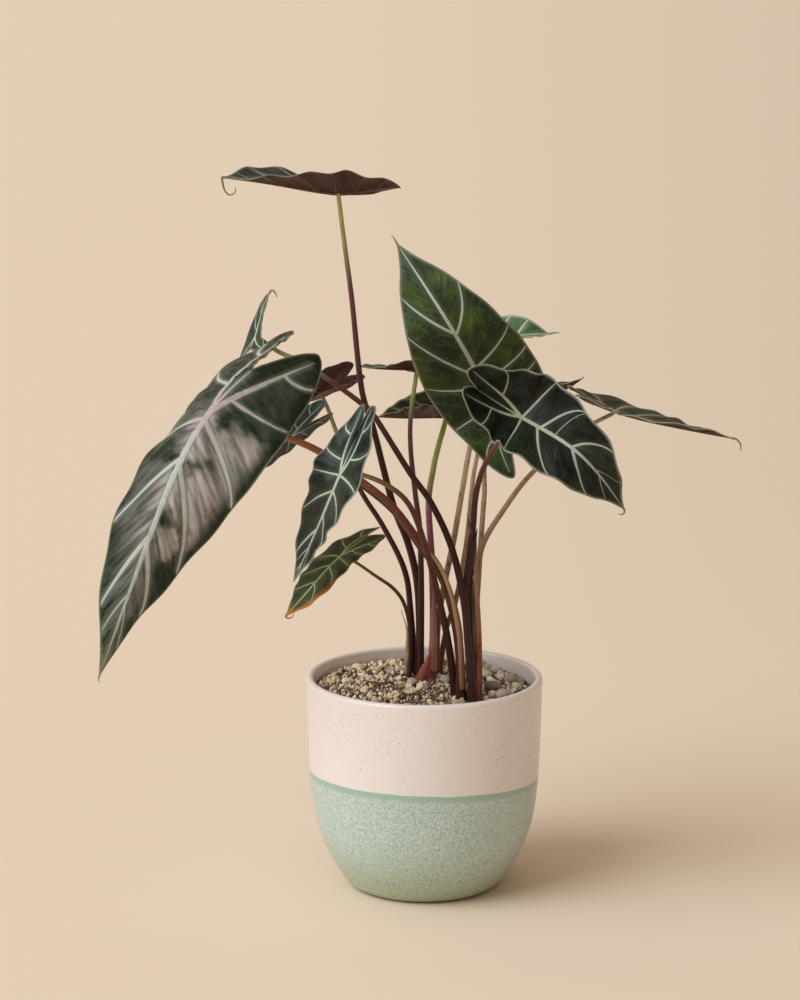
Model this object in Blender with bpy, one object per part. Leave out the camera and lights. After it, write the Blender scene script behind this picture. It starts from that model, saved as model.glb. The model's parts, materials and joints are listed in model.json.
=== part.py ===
# Potted alocasia: a stoneware pot, its potting mix and stones, and a plant of fourteen leaves on stalks.
# Lengths in the tables are millimetres; the model is in metres, +Z up, with its origin on the floor at
# the middle of the pot's base and its front towards -Y.

import math
import random

import bmesh
import bpy
import numpy as np
from mathutils import Vector

MM = 0.001
CLEARANCE = 0.4             # between a sunk foot and the mix around it

# ---------------------------------------------------------------- driving dimensions, millimetres

POT = {
    "height": 141.5,
    "rim_radius": 77.5,
    "wall": 5.0,
    "floor": 9.0,
    "corner": 4.0,          # how far the inside wall curves in at the floor
    # radius and height of the outside, from the foot to just under the lip
    "side": ((45.0, 0.0), (49.4, 2.2), (53.0, 5.6), (56.4, 10.4), (59.3, 15.1), (63.3, 22.5), (67.0, 30.6),
             (70.0, 39.0), (73.0, 51.6), (75.2, 71.8), (76.5, 100.0), (77.5, 139.0)),
    # heights of the rings down the inside, from under the lip
    "inside": (126.0, 100.0, 72.0, 52.0, 32.0, 18.0),
    "side_rings": 23,
    "lip_steps": 6,
    "segments": 56,
}

MIX = {
    "top": 132.0,           # mean height of the mix
    "tilt_x": -0.014,       # it lies a little higher at the left and at the back
    "tilt_y": 0.012,
    "mound": 1.6,           # extra height in the middle
    "gap": 0.4,             # to the pot all round
    "rim_gap": 1.2,         # to the pot at the top, where the mix is highest
    "inside": (120.0, 100.0, 72.0, 52.0, 32.0, 18.0),
    "rings": 5,
    "segments": 28,
    "wave": 0.5,            # height of the unevenness, and its wavelengths along x and y over 2 pi
    "wave_x": 9.0,
    "wave_y": 7.0,
}

LEAF_THICKNESS = 1.0
LEAF_COLUMNS = 3            # facets from midrib to margin
LOBE_INNER = 0.16           # width of a lobe's inner edge, in blade lengths
STALK_SIDES = 8
STALK_FOOT = 126.0          # how deep the stalks reach into the mix
STALK_HEAD_GAP = 1.3        # from the stalk's flank to the blade that it carries

# Every blade: a centre line through the ends of its lobes, the joint with the stalk, its middle and its
# tip; the way its upper face looks at the joint, tip and lobes; and for its (right, left) half the width
# against the common outline, the swelling towards the tip, the fold up from the midrib and the extra curl
# at the margin in degrees, the lift and spread of the lobe. "sinus" is how deep the lobes are parted.
LEAVES = {
    "top": {
        "lobes": (-17, 9, 458), "joint": (-55, 3, 458), "middle": (-94, -7, 465), "tip": (-128, -23, 471),
        "face": (0, 0.24, 0.97), "face_tip": (0, -0.32, 0.95), "face_lobes": (0, 0, 1),
        "width": (1.1, 1.0), "belly": (0.35, 0), "fold": (23, 31), "sinus": 0.3},
    "big_left": {
        "lobes": (-75, -41, 375), "joint": (-134, -85, 332), "middle": (-171, -106, 257),
        "tip": (-204, -105, 168),
        "face": (-0.6, -0.77, 0.23), "face_tip": (0.52, -0.82, 0.22), "face_lobes": (-0.2, -0.83, 0.51),
        "width": (0.78, 0.88), "belly": (0.03, -0.08), "fold": (-23, -27), "curl": (-27, -10),
        "lift": (-4, -2), "spread": (-5, -6), "sinus": 0.24},
    "behind_left": {
        "lobes": (-115, 14, 350), "joint": (-110, 26, 362), "middle": (-105, 23, 380), "tip": (-100, 9, 393),
        "face": (-0.72, -0.6, 0.35), "face_tip": (-0.91, -0.34, 0.24), "face_lobes": (-0.73, -0.66, 0.17),
        "width": (1.05, 0.95), "belly": (-0.06, -0.09), "fold": (-4, -6), "curl": (60, -12),
        "lift": (-3, 2), "spread": (7, 1), "sinus": 0.3},
    "back_left": {
        "lobes": (-43, 43, 336), "joint": (-69, 44, 322), "middle": (-93, 31, 309), "tip": (-119, 26, 293),
        "face": (-0.16, 0.53, 0.83), "face_tip": (-0.19, 0.59, 0.79), "face_lobes": (-0.19, 0.72, 0.67),
        "fold": (12, 12), "sinus": 0.34},
    "small_left": {
        "lobes": (-60, -20, 322), "joint": (-86, -22, 304), "middle": (-110, -26, 286), "tip": (-136, -30, 269),
        "face": (-0.31, -0.46, 0.83), "fold": (8, 20), "sinus": 0.25},
    "middle_hanging": {
        "lobes": (-36, -72, 332), "joint": (-53, -90, 294), "middle": (-67, -81, 259), "tip": (-83, -76, 222),
        "face": (-0.25, -0.76, 0.6), "face_tip": (-0.4, -0.72, 0.58), "face_lobes": (-0.5, -0.78, 0.4),
        "width": (0.86, 0.95), "belly": (0.25, -0.08), "fold": (2, 23), "curl": (-12, 15),
        "lift": (4, 2), "spread": (-7, -3), "sinus": 0.3},
    "low_left": {
        "lobes": (-29, -27, 246), "joint": (-54, -34, 229), "middle": (-72, -51, 213), "tip": (-89, -53, 194),
        "face": (-0.34, -0.66, 0.67), "face_tip": (-0.1, -0.85, 0.52), "face_lobes": (-0.13, -0.51, 0.85),
        "width": (0.94, 0.97), "belly": (0.13, 0.11), "fold": (-6, 18), "curl": (-18, 8),
        "lift": (-3, -2), "spread": (-2, 2), "sinus": 0.35},
    "upright": {
        "lobes": (65, -29, 284), "joint": (38, -24, 337), "middle": (13, -43, 384), "tip": (-18, -21, 429),
        "face": (0, -1, 0.18), "face_tip": (-0.16, -1, 0.1), "face_lobes": (0.16, -1, 0.28),
        "width": (1.06, 0.94), "belly": (-0.05, 0.38), "fold": (9, 6), "lift": (0, -2), "spread": (0, -2),
        "sinus": 0.26},
    "front_right": {
        "lobes": (22, -79, 352), "joint": (60, -70, 326), "middle": (95, -97, 308), "tip": (124, -82, 270),
        "face": (0.33, -0.83, 0.45), "face_tip": (-0.17, -1, 0.09), "face_lobes": (0.08, -1, 0.3),
        "width": (1.03, 1.07), "belly": (0.24, 0.04), "fold": (13, 30), "curl": (15, 23),
        "lift": (4, -5), "spread": (-4, -4), "sinus": 0.38},
    "small_back": {
        "lobes": (12, 54, 358), "joint": (36, 50, 356), "middle": (62, 46, 359), "tip": (83, 50, 360),
        "face": (0, 0.2, 1), "face_tip": (0, -0.6, 0.8), "width": (1.0, 1.2), "belly": (0, 0.5),
        "fold": (25, 48), "sinus": 0.25},
    "back_right": {
        "lobes": (36, 62, 306), "joint": (62, 58, 313), "middle": (88, 55, 320), "tip": (105, 44, 332),
        "face": (0, 0, 1), "fold": (35, 34), "sinus": 0.3},
    "right_edge": {
        "lobes": (95, 2, 331), "joint": (123, 16, 315), "middle": (159, 0, 308), "tip": (200, -4, 300),
        "face": (0.3, -0.15, 0.9), "face_tip": (-0.3, 0.2, 0.9), "face_lobes": (0.14, -0.07, 1),
        "width": (1.05, 0.97), "belly": (0.26, 0.09), "fold": (18, 8), "curl": (-9, -13),
        "lift": (-5, 0), "spread": (-4, -7), "sinus": 0.3},
    "edge_back": {
        "lobes": (14, 46, 333), "joint": (-5, 39, 338), "middle": (-27, 38, 339), "tip": (-44, 28, 342),
        "face": (0, 0.38, 0.93), "face_tip": (0, -0.4, 0.91), "face_lobes": (0, 0.1, 1),
        "fold": (3, 21), "sinus": 0.3},
    "folded_back": {
        "lobes": (38, 86, 295), "joint": (15, 74, 300), "middle": (-9, 56, 303), "tip": (-32, 36, 307),
        "face": (0, -0.12, 1), "face_tip": (0, 0.4, 0.9), "width": (1.15, 1.0), "belly": (0.1, 0.3),
        "fold": (54, 36), "sinus": 0.3},
}

# The stalks, named as the blades that they carry: radius at the blade and at the foot, and the points that
# each passes on its way down, after the blade's joint.
STALKS = {
    "top": {"radii": (1.4, 2.8), "route": (
        (-51, 4, 421), (-47, 8, 389), (-41, 14, 330), (-33, 18, 301), (-21, 24, 252), (-11, 27, 225),
        (-5, 27, 200), (-3, 25, 172), (-3, 24, 134))},
    "big_left": {"radii": (1.8, 3.0), "route": (
        (-113, -70, 322), (-88, -60, 312), (-65, -52, 300), (-41, -46, 281), (-21, -40, 263), (-4, -34, 239),
        (11, -30, 216), (21, -29, 181), (23.5, -30, 134))},
    "behind_left": {"radii": (1.4, 2.7), "route": (
        (-95, 25, 352), (-82, 20, 347), (-61, 12, 335), (-42, 6, 322), (-33, 3, 314), (-10, -8, 279),
        (4, -15, 260), (17, -24, 233), (25, -32, 200), (28, -35, 170), (31, -37, 134))},
    "back_left": {"radii": (1.3, 2.3), "route": (
        (-63, 42, 310), (-58, 41, 296), (-43, 38, 259), (-27, 36, 233), (-13, 34, 204), (-9, 32, 177),
        (-6, 31, 134))},
    "small_left": {"radii": (1.4, 2.2), "route": (
        (-66, -27, 294), (-42, -22, 274), (-21, -16, 255), (-4, -12, 231), (11, -11, 208), (20, -13, 175),
        (24, -14, 134))},
    "middle_hanging": {"radii": (1.4, 2.6), "route": (
        (-41, -76, 291), (-24, -66, 282), (-10, -56, 267), (0, -46, 239), (9, -32, 200), (15, -25, 171),
        (20, -22, 134))},
    "low_left": {"radii": (0.9, 1.6), "route": (
        (-46, -26, 224), (-32, -12, 211), (-21, 1, 200), (-14, 12, 188), (-10, 19, 172), (-9, 22, 152),
        (-10, 22, 134))},
    "upright": {"radii": (1.6, 2.3), "route": (
        (37, -15, 329), (29, -6, 294), (24, 2, 262), (19, 10, 229), (14, 18, 202), (9, 26, 169),
        (8, 28, 134))},
    "front_right": {"radii": (1.5, 2.7), "route": (
        (53, -58, 317), (47, -51, 308), (40, -44, 295), (35, -39, 282), (32, -35, 266), (31, -31, 249),
        (29, -27, 230), (27, -22, 208), (28.5, -23, 184), (31.5, -27.5, 134))},
    "small_back": {"radii": (1.2, 1.9), "route": (
        (43, 40, 317), (33, 34, 272), (28, 31, 225), (21, 31, 184), (15, 33, 165), (10, 35, 134))},
    "back_right": {"radii": (1.4, 2.1), "route": (
        (60, 44, 300), (41, 22, 284), (39, 10, 260), (37, 1, 236), (35, -5, 206), (33, -9, 174),
        (33, -11, 134))},
    "right_edge": {"radii": (1.3, 2.4), "route": (
        (103, 10, 303), (70, 0, 277), (51, -5, 253), (38, -10, 232), (34, -13, 212), (32, -15, 194),
        (30, -17, 169), (31, -19, 134))},
    "edge_back": {"radii": (1.4, 2.3), "route": (
        (-9, 22, 310), (-9, 20, 288), (-6, 19, 259), (-3, 18, 234), (-2, 17, 193), (-2.5, 16, 134))},
    "folded_back": {"radii": (1.8, 2.6), "route": (
        (9, 66, 279), (6, 60, 266), (3, 46, 247), (5, 30, 212), (6, 19, 173), (5, 17, 134))},
}

# Papery sheaths and the young spike at the foot: route of the middle, half width, the way the outside looks.
SHEATHS = {
    "sheath_left": {"route": ((-13.5, 27, 134.5), (-12, 28, 150), (-11.5, 28, 165), (-15, 28, 178)),
                    "half_width": 1.6, "outward": (-1, 0.1, 0)},
    "sheath_right": {"route": ((36.5, -24, 134.5), (35.5, -24, 165), (33.5, -23.5, 200), (33, -21.5, 228),
                               (32.2, -20, 242)),
                     "half_width": 2.6, "outward": (1, -0.2, 0)},
    "spike_front": {"route": ((-1, 8.5, 134.5), (1, 9, 144), (5, 10, 155)),
                    "half_width": 3.8, "outward": (-0.1, -1, 0)},
}
SHEATH = {"thickness": 0.7, "rows": 9, "columns": 4, "bow": 0.45, "taper": 1.6}

# The larger loose stones: place on the mix and half size along x, y and z.
PEBBLES = (
    ((37, 52), (4.6, 4.0, 3.0)), ((45, -8), (5.2, 4.2, 3.3)), ((57, 13), (4.2, 3.8, 2.8)),
    ((41, 21), (3.8, 3.2, 2.6)), ((14, 7), (5.0, 3.4, 2.6)), ((20, 52), (3.8, 3.2, 2.4)),
    ((10, 61), (3.6, 3.0, 2.6)), ((50, -26), (4.4, 3.8, 2.8)), ((60, -5), (3.6, 3.0, 2.4)),
    ((48, 37), (4.0, 3.4, 2.6)), ((-8, 2), (3.6, 3.2, 2.6)), ((46, 5), (3.4, 3.0, 2.4)),
)
PEBBLE_GAP = 0.5            # under each stone

COLOURS = {
    # name: colour, roughness
    "cream_glaze": ((0.76, 0.69, 0.61), 0.35),
    "potting_mix": ((0.16, 0.13, 0.10), 0.95),
    "pumice": ((0.62, 0.57, 0.44), 0.9),
    "leaf_green": ((0.045, 0.075, 0.035), 0.42),
    "leaf_dark": ((0.035, 0.045, 0.035), 0.38),
    "leaf_young": ((0.10, 0.17, 0.07), 0.42),
    "stalk_maroon": ((0.10, 0.035, 0.03), 0.45),
    "stalk_tan": ((0.26, 0.19, 0.12), 0.5),
    "dry_sheath": ((0.20, 0.10, 0.06), 0.7),
}
LEAF_COLOUR = {"small_back": "leaf_young", "upright": "leaf_green", "low_left": "leaf_green"}
STALK_COLOUR = {"upright": "stalk_tan", "small_back": "stalk_tan", "back_right": "stalk_tan",
                "right_edge": "stalk_tan"}


# ---------------------------------------------------------------- helpers

def clear_scene():
    for obj in list(bpy.data.objects):
        bpy.data.objects.remove(obj, do_unlink=True)


def material(name):
    """Principled material for a colour name, made once."""
    if name in bpy.data.materials:
        return bpy.data.materials[name]
    colour, roughness = COLOURS[name]
    mat = bpy.data.materials.new(name)
    mat.use_nodes = True
    shader = mat.node_tree.nodes["Principled BSDF"]
    shader.inputs["Base Color"].default_value = (*colour, 1.0)
    shader.inputs["Roughness"].default_value = roughness
    shader.inputs["Metallic"].default_value = 0.0
    mat.diffuse_color = (*colour, 1.0)
    return mat


def add_object(name, vertices, faces, colour):
    """Object from points in millimetres, faces turned outwards and shaded smooth."""
    mesh = bpy.data.meshes.new(name)
    mesh.from_pydata([Vector(v) * MM for v in vertices], [], faces)
    bm = bmesh.new()
    bm.from_mesh(mesh)
    bmesh.ops.recalc_face_normals(bm, faces=bm.faces)
    bm.to_mesh(mesh)
    bm.free()
    mesh.shade_smooth()
    mesh.set_sharp_from_angle(angle=math.radians(50))
    mesh.materials.append(material(colour))
    obj = bpy.data.objects.new(name, mesh)
    bpy.context.scene.collection.objects.link(obj)
    return obj


def unit(vectors):
    return vectors / np.linalg.norm(vectors, axis=-1, keepdims=True)


def smooth_path(points, count):
    """Catmull-Rom curve through the points."""
    points = np.asarray(points, float)
    last = len(points) - 1
    place = np.linspace(0, last, count)
    index = np.minimum(place.astype(int), last - 1)
    part = (place - index)[:, None]
    ends = np.vstack([2 * points[0] - points[1], points, 2 * points[-1] - points[-2]])
    before, start, end, after = (ends[index + k] for k in range(4))
    return 0.5 * (2 * start + (end - before) * part + (2 * before - 5 * start + 4 * end - after) * part ** 2
                  + (3 * start - before - 3 * end + after) * part ** 3)


def natural_spline(knots, values):
    """Function giving the natural cubic spline through the values at the knots."""
    knots = np.asarray(knots, float)
    values = np.asarray(values, float)
    count = len(knots)
    steps = np.diff(knots)
    matrix = np.eye(count)
    right = np.zeros((count, values.shape[1]))
    for i in range(1, count - 1):
        matrix[i, i - 1:i + 2] = steps[i - 1], 2 * (steps[i - 1] + steps[i]), steps[i]
        right[i] = 6 * ((values[i + 1] - values[i]) / steps[i] - (values[i] - values[i - 1]) / steps[i - 1])
    bend = np.linalg.solve(matrix, right)

    def at(x):
        i = np.clip(np.searchsorted(knots, x) - 1, 0, count - 2)
        a = (knots[i + 1] - x)[:, None]
        b = (x - knots[i])[:, None]
        h = steps[i][:, None]
        return ((bend[i] * a ** 3 + bend[i + 1] * b ** 3) / (6 * h)
                + (values[i] / h - bend[i] * h / 6) * a + (values[i + 1] / h - bend[i + 1] * h / 6) * b)
    return at


# ---------------------------------------------------------------- pot and mix

def revolve(name, profile, segments, colour):
    """Closed solid turned about Z from a profile whose first and last points lie on the axis."""
    vertices = [(0, 0, profile[0][1])]
    for radius, height in profile[1:-1]:
        for s in range(segments):
            angle = 2 * math.pi * s / segments
            vertices.append((radius * math.cos(angle), radius * math.sin(angle), height))
    vertices.append((0, 0, profile[-1][1]))
    last = len(vertices) - 1
    faces = []
    for s in range(segments):
        t = (s + 1) % segments
        faces.append((0, 1 + t, 1 + s))
        for ring in range(len(profile) - 3):
            low = 1 + ring * segments
            high = low + segments
            faces.append((low + s, low + t, high + t, high + s))
        faces.append((last - segments + s, last - segments + t, last))
    return add_object(name, vertices, faces, colour)


def side_radius(height):
    """Outside radius of the pot at a height."""
    side = POT["side"]
    return float(np.interp(height, [z for r, z in side], [r for r, z in side]))


def floor_radius():
    """Radius of the flat part of the pot's floor inside."""
    return side_radius(POT["floor"]) - POT["wall"] - POT["corner"]


def make_pot():
    lip = POT["wall"] / 2
    lip_centre = (POT["rim_radius"] - lip, POT["height"] - lip)
    outside = smooth_path(POT["side"], POT["side_rings"])
    profile = [(0.0, 0.0)] + [tuple(point) for point in outside]
    for step in range(1, POT["lip_steps"] + 1):
        angle = math.pi * step / POT["lip_steps"]
        profile.append((lip_centre[0] + lip * math.cos(angle), lip_centre[1] + lip * math.sin(angle)))
    profile += [(side_radius(z) - POT["wall"], z) for z in POT["inside"]]
    profile += [(floor_radius(), POT["floor"]), (0.0, POT["floor"])]
    return revolve("pot", profile, POT["segments"], "cream_glaze")


def mix_height(x, y):
    """Height of the mix's surface."""
    span = math.hypot(x, y) / POT["rim_radius"]
    wave = MIX["wave"] * math.sin(x / MIX["wave_x"]) * math.cos(y / MIX["wave_y"])
    return MIX["top"] + MIX["tilt_x"] * x + MIX["tilt_y"] * y + MIX["mound"] * (1 - span) + wave


def make_mix(sockets):
    """Plug of mix that fills the pot, with a socket for each stalk's foot."""
    gap = MIX["gap"]
    profile = [(side_radius(z) - POT["wall"] - gap, z) for z in MIX["inside"]]
    profile.append((floor_radius() - gap, POT["floor"] + gap))
    count = MIX["segments"]
    rim = POT["rim_radius"] - POT["wall"] - MIX["rim_gap"]
    vertices = [(0, 0, mix_height(0, 0))]
    for ring in range(1, MIX["rings"] + 1):
        for s in range(count):
            angle = 2 * math.pi * s / count
            x = rim * ring / MIX["rings"] * math.cos(angle)
            y = rim * ring / MIX["rings"] * math.sin(angle)
            vertices.append((x, y, mix_height(x, y)))
    for radius, height in profile:
        for s in range(count):
            angle = 2 * math.pi * s / count
            vertices.append((radius * math.cos(angle), radius * math.sin(angle), height))
    vertices.append((0, 0, POT["floor"] + gap))
    last = len(vertices) - 1
    faces = []
    for s in range(count):
        t = (s + 1) % count
        faces.append((0, 1 + s, 1 + t))
        for ring in range(MIX["rings"] + len(profile) - 1):
            near = 1 + ring * count
            far = near + count
            faces.append((near + s, far + s, far + t, near + t))
        faces.append((last - count + s, last, last - count + t))
    mix = add_object("soil", vertices, faces, "potting_mix")
    cut = mix.modifiers.new("stalk sockets", "BOOLEAN")
    cut.operation = "DIFFERENCE"
    cut.solver = "EXACT"
    cut.object = sockets
    return mix


# ---------------------------------------------------------------- leaves

def half_outline(sinus):
    """Half of the common blade outline, in blade lengths from the joint: along, across, root on the midrib."""
    free = 0.5 - sinus      # how much of the lobe stands free of its twin
    return np.array((
        (-sinus, 0.0, -sinus),
        (-sinus - 0.65 * free, 0.062, -0.68 * sinus),
        (-0.500, 0.125, -0.45 * sinus),
        (-0.470, 0.192, -0.26 * sinus),
        (-0.370, 0.245, -0.08 * sinus),
        (-0.200, 0.285, 0.020),
        (-0.010, 0.305, 0.055),
        (0.180, 0.295, 0.110),
        (0.360, 0.260, 0.200),
        (0.520, 0.212, 0.320),
        (0.660, 0.158, 0.460),
        (0.780, 0.103, 0.610),
        (0.875, 0.052, 0.750),
        (0.940, 0.022, 0.880),
        (1.0, 0.0, 1.0)))


def leaf_frame(leaf, along):
    """Centre, direction to the tip and upward normal of the blade at each place along it."""
    centre = natural_spline((-0.5, 0.0, 0.5, 1.0), [leaf[k] for k in ("lobes", "joint", "middle", "tip")])
    step = 0.001
    forward = unit(centre(along + step) - centre(along - step))
    face = unit(np.array(leaf["face"], float))
    face_tip = unit(np.array(leaf.get("face_tip", leaf["face"]), float))
    face_lobes = unit(np.array(leaf.get("face_lobes", leaf["face"]), float))
    to_tip = np.clip(along, 0, 1)[:, None]
    to_lobes = np.clip(-2 * along, 0, 1)[:, None]
    normal = face * (1 - to_tip - to_lobes) + face_tip * to_tip + face_lobes * to_lobes
    normal = unit(normal - (normal * forward).sum(-1, keepdims=True) * forward)
    return centre(along), forward, normal


def leaf_length(leaf):
    joint, middle, tip = (np.array(leaf[k], float) for k in ("joint", "middle", "tip"))
    return np.linalg.norm(middle - joint) + np.linalg.norm(tip - middle)


def leaf_points(leaf, along, across, half):
    """Points of the blade for flat places on its right (half 0) or left (half 1) side."""
    centre, forward, normal = leaf_frame(leaf, along)
    side = np.cross(forward, normal) * (1 if half == 0 else -1)
    width = leaf.get("width", (1, 1))[half] * (1 + leaf.get("belly", (0, 0))[half] * along)
    reach = (across * width * leaf_length(leaf))[:, None]
    rise = math.radians(leaf.get("fold", (10, 10))[half])
    rise = rise + math.radians(leaf.get("curl", (0, 0))[half]) * across / 0.6
    rise = rise[:, None]
    lobe = np.clip(-2 * along, 0, 1)
    inner = np.clip(across / LOBE_INNER, 0, 1)      # the lobe's inner edge stays where its twin begins
    lobe = (lobe * lobe * (3 - 2 * lobe) * inner * (1.5 - 0.5 * inner ** 2))[:, None]
    return (centre + reach * (np.cos(rise) * side + np.sin(rise) * normal)
            + lobe * (leaf.get("lift", (0, 0))[half] * normal + leaf.get("spread", (0, 0))[half] * side))


def make_leaf(name, leaf):
    """Blade as a thin closed sheet: both halves share the midrib, the sinus and the tip."""
    table = half_outline(leaf["sinus"])
    rows = len(table) - 2
    roots = table[:, 2]
    midrib = leaf_points(leaf, roots, 0 * roots, 0)
    vertices = [tuple(point) for point in midrib]
    faces = []
    for half in (0, 1):
        grid = [[row + 1 for row in range(rows)]]
        for column in range(1, LEAF_COLUMNS + 1):
            part = column / LEAF_COLUMNS
            along = table[:, 0] * part + roots * (1 - part)
            points = leaf_points(leaf, along, table[:, 1] * part, half)[1:-1]
            grid.append([len(vertices) + row for row in range(rows)])
            vertices += [tuple(point) for point in points]
        for near, far in zip(grid, grid[1:]):
            quads = [(near[r], near[r + 1], far[r + 1], far[r]) for r in range(rows - 1)]
            ends = [(0, near[0], far[0]), (near[-1], len(table) - 1, far[-1])]
            faces += quads + ends if half == 0 else [face[::-1] for face in quads + ends]
    obj = add_object("leaf_" + name, vertices, faces, LEAF_COLOUR.get(name, "leaf_dark"))
    sheet = obj.modifiers.new("thickness", "SOLIDIFY")
    sheet.thickness = LEAF_THICKNESS * MM
    sheet.thickness_clamp = 1.0
    sheet.offset = 0.0
    return obj


# ---------------------------------------------------------------- stalks and sheaths

def tube(points, radii, sides):
    """Vertices and faces of a capped tube. Its rings are turned by the Y axis, so a part of it matches."""
    forward = unit(np.gradient(points, axis=0))
    side = unit(np.cross(forward, (0.0, 1.0, 0.0)))
    up = np.cross(side, forward)
    vertices = []
    for i, radius in enumerate(radii):
        for s in range(sides):
            angle = 2 * math.pi * (s + 0.5) / sides
            vertices.append(tuple(points[i] + radius * (math.cos(angle) * side[i] + math.sin(angle) * up[i])))
    faces = [tuple(range(sides))[::-1], tuple(range(len(vertices) - sides, len(vertices)))]
    for ring in range(len(radii) - 1):
        for s in range(sides):
            t = (s + 1) % sides
            low = ring * sides
            faces.append((low + s, low + t, low + sides + t, low + sides + s))
    return vertices, faces


def stalk_path(name):
    """Centre line from just under the blade down to the foot, with its radii."""
    leaf = LEAVES[name]
    head, foot = STALKS[name]["radii"]
    joint, _, normal = leaf_frame(leaf, np.array([0.0]))
    start = joint[0] - normal[0] * (head + STALK_HEAD_GAP)
    route = STALKS[name]["route"]
    end = (route[-1][0], route[-1][1], STALK_FOOT)
    points = smooth_path([start, *route, end], 2 * len(route) + 3)
    return points, np.linspace(head, foot, len(points))


def make_stalk(name):
    vertices, faces = tube(*stalk_path(name), STALK_SIDES)
    return add_object("stalk_" + name, vertices, faces, STALK_COLOUR.get(name, "stalk_maroon"))


def make_sockets():
    """Cutter for the feet: each stalk's last rings, a little fatter and deeper."""
    vertices = []
    faces = []
    for name in STALKS:
        points, radii = stalk_path(name)
        points = points[-4:].copy()
        points[-1] -= (0, 0, CLEARANCE)
        more, more_faces = tube(points, radii[-4:] + CLEARANCE, STALK_SIDES)
        faces += [tuple(len(vertices) + i for i in face) for face in more_faces]
        vertices += more
    cutter = add_object("socket_cutter", vertices, faces, "potting_mix")
    cutter.hide_render = True
    cutter.display_type = "WIRE"
    return cutter


def make_sheath(name, sheath):
    """Pointed strip, bowed round the stalks that it once wrapped."""
    points = smooth_path(sheath["route"], SHEATH["rows"])
    forward = unit(np.gradient(points, axis=0))
    outward = np.array(sheath["outward"], float)
    outward = unit(outward - (forward * outward).sum(-1, keepdims=True) * forward)
    side = np.cross(forward, outward)
    columns = SHEATH["columns"]
    vertices = []
    for i, point in enumerate(points[:-1]):
        width = sheath["half_width"] * (1 - (i / (len(points) - 1)) ** SHEATH["taper"])
        for c in range(columns + 1):
            across = 2 * c / columns - 1
            bow = -SHEATH["bow"] * width * across * across
            vertices.append(tuple(point + width * across * side[i] + bow * outward[i]))
    vertices.append(tuple(points[-1]))
    faces = []
    for i in range(len(points) - 2):
        for c in range(columns):
            low = i * (columns + 1) + c
            faces.append((low, low + 1, low + columns + 2, low + columns + 1))
    last = (len(points) - 2) * (columns + 1)
    faces += [(last + c, last + c + 1, len(vertices) - 1) for c in range(columns)]
    obj = add_object(name, vertices, faces, "dry_sheath")
    sheet = obj.modifiers.new("thickness", "SOLIDIFY")
    sheet.thickness = SHEATH["thickness"] * MM
    sheet.offset = 0.0
    return obj


# ---------------------------------------------------------------- stones

def make_pebble(number, place, half_size):
    """Worn stone: a sphere squashed to its size and dented by a few broad waves."""
    rng = random.Random(number)
    turn = rng.uniform(0, math.pi)
    phases = [rng.uniform(0, 2 * math.pi) for _ in range(3)]
    bm = bmesh.new()
    bmesh.ops.create_icosphere(bm, subdivisions=2, radius=1.0)
    for vert in bm.verts:
        x, y, z = vert.co
        dent = 1 + 0.07 * math.sin(3 * x + phases[0]) + 0.07 * math.sin(3 * y + phases[1])
        dent += 0.05 * math.sin(4 * z + phases[2])
        px = x * half_size[0] * dent
        py = y * half_size[1] * dent
        vert.co = (px * math.cos(turn) - py * math.sin(turn), px * math.sin(turn) + py * math.cos(turn),
                   z * half_size[2] * dent)
    lowest = min(vert.co.z for vert in bm.verts)
    reach = max(half_size)
    ground = max(mix_height(place[0] + dx, place[1] + dy)
                 for dx in (-reach, 0, reach) for dy in (-reach, 0, reach))
    offset = Vector((place[0], place[1], ground + PEBBLE_GAP - lowest))
    vertices = [tuple(vert.co + offset) for vert in bm.verts]
    faces = [tuple(vert.index for vert in face.verts) for face in bm.faces]
    bm.free()
    return add_object("pebble_%02d" % number, vertices, faces, "pumice")


# ---------------------------------------------------------------- assembly

clear_scene()
make_pot()
make_mix(make_sockets())
for leaf_name, leaf_sizes in LEAVES.items():
    make_leaf(leaf_name, leaf_sizes)
for stalk_name in STALKS:
    make_stalk(stalk_name)
for sheath_name, sheath_sizes in SHEATHS.items():
    make_sheath(sheath_name, sheath_sizes)
for pebble_number, (pebble_place, pebble_size) in enumerate(PEBBLES, start=1):
    make_pebble(pebble_number, pebble_place, pebble_size)
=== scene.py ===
# Looks of the potted alocasia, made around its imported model. Lengths in the tables are millimetres.
import json
import math
import random

import bmesh
import bpy
import numpy as np
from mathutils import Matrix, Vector, noise


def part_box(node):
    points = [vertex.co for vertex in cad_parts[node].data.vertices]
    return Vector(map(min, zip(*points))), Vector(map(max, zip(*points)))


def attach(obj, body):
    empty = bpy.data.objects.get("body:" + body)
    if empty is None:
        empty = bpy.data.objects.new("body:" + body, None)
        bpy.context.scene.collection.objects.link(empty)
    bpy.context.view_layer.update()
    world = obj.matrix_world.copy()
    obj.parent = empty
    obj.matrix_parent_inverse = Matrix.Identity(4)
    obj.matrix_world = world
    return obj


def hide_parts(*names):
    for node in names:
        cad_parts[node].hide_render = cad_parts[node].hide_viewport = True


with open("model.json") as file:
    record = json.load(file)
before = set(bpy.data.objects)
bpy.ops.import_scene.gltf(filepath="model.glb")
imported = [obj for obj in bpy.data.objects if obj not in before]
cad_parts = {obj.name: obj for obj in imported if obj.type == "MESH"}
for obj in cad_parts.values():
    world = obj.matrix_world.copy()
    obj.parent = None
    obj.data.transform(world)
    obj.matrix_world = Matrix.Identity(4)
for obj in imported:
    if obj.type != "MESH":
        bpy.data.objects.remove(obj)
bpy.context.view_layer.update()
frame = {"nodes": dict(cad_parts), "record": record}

mm = 0.001
scene = bpy.context.scene

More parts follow.
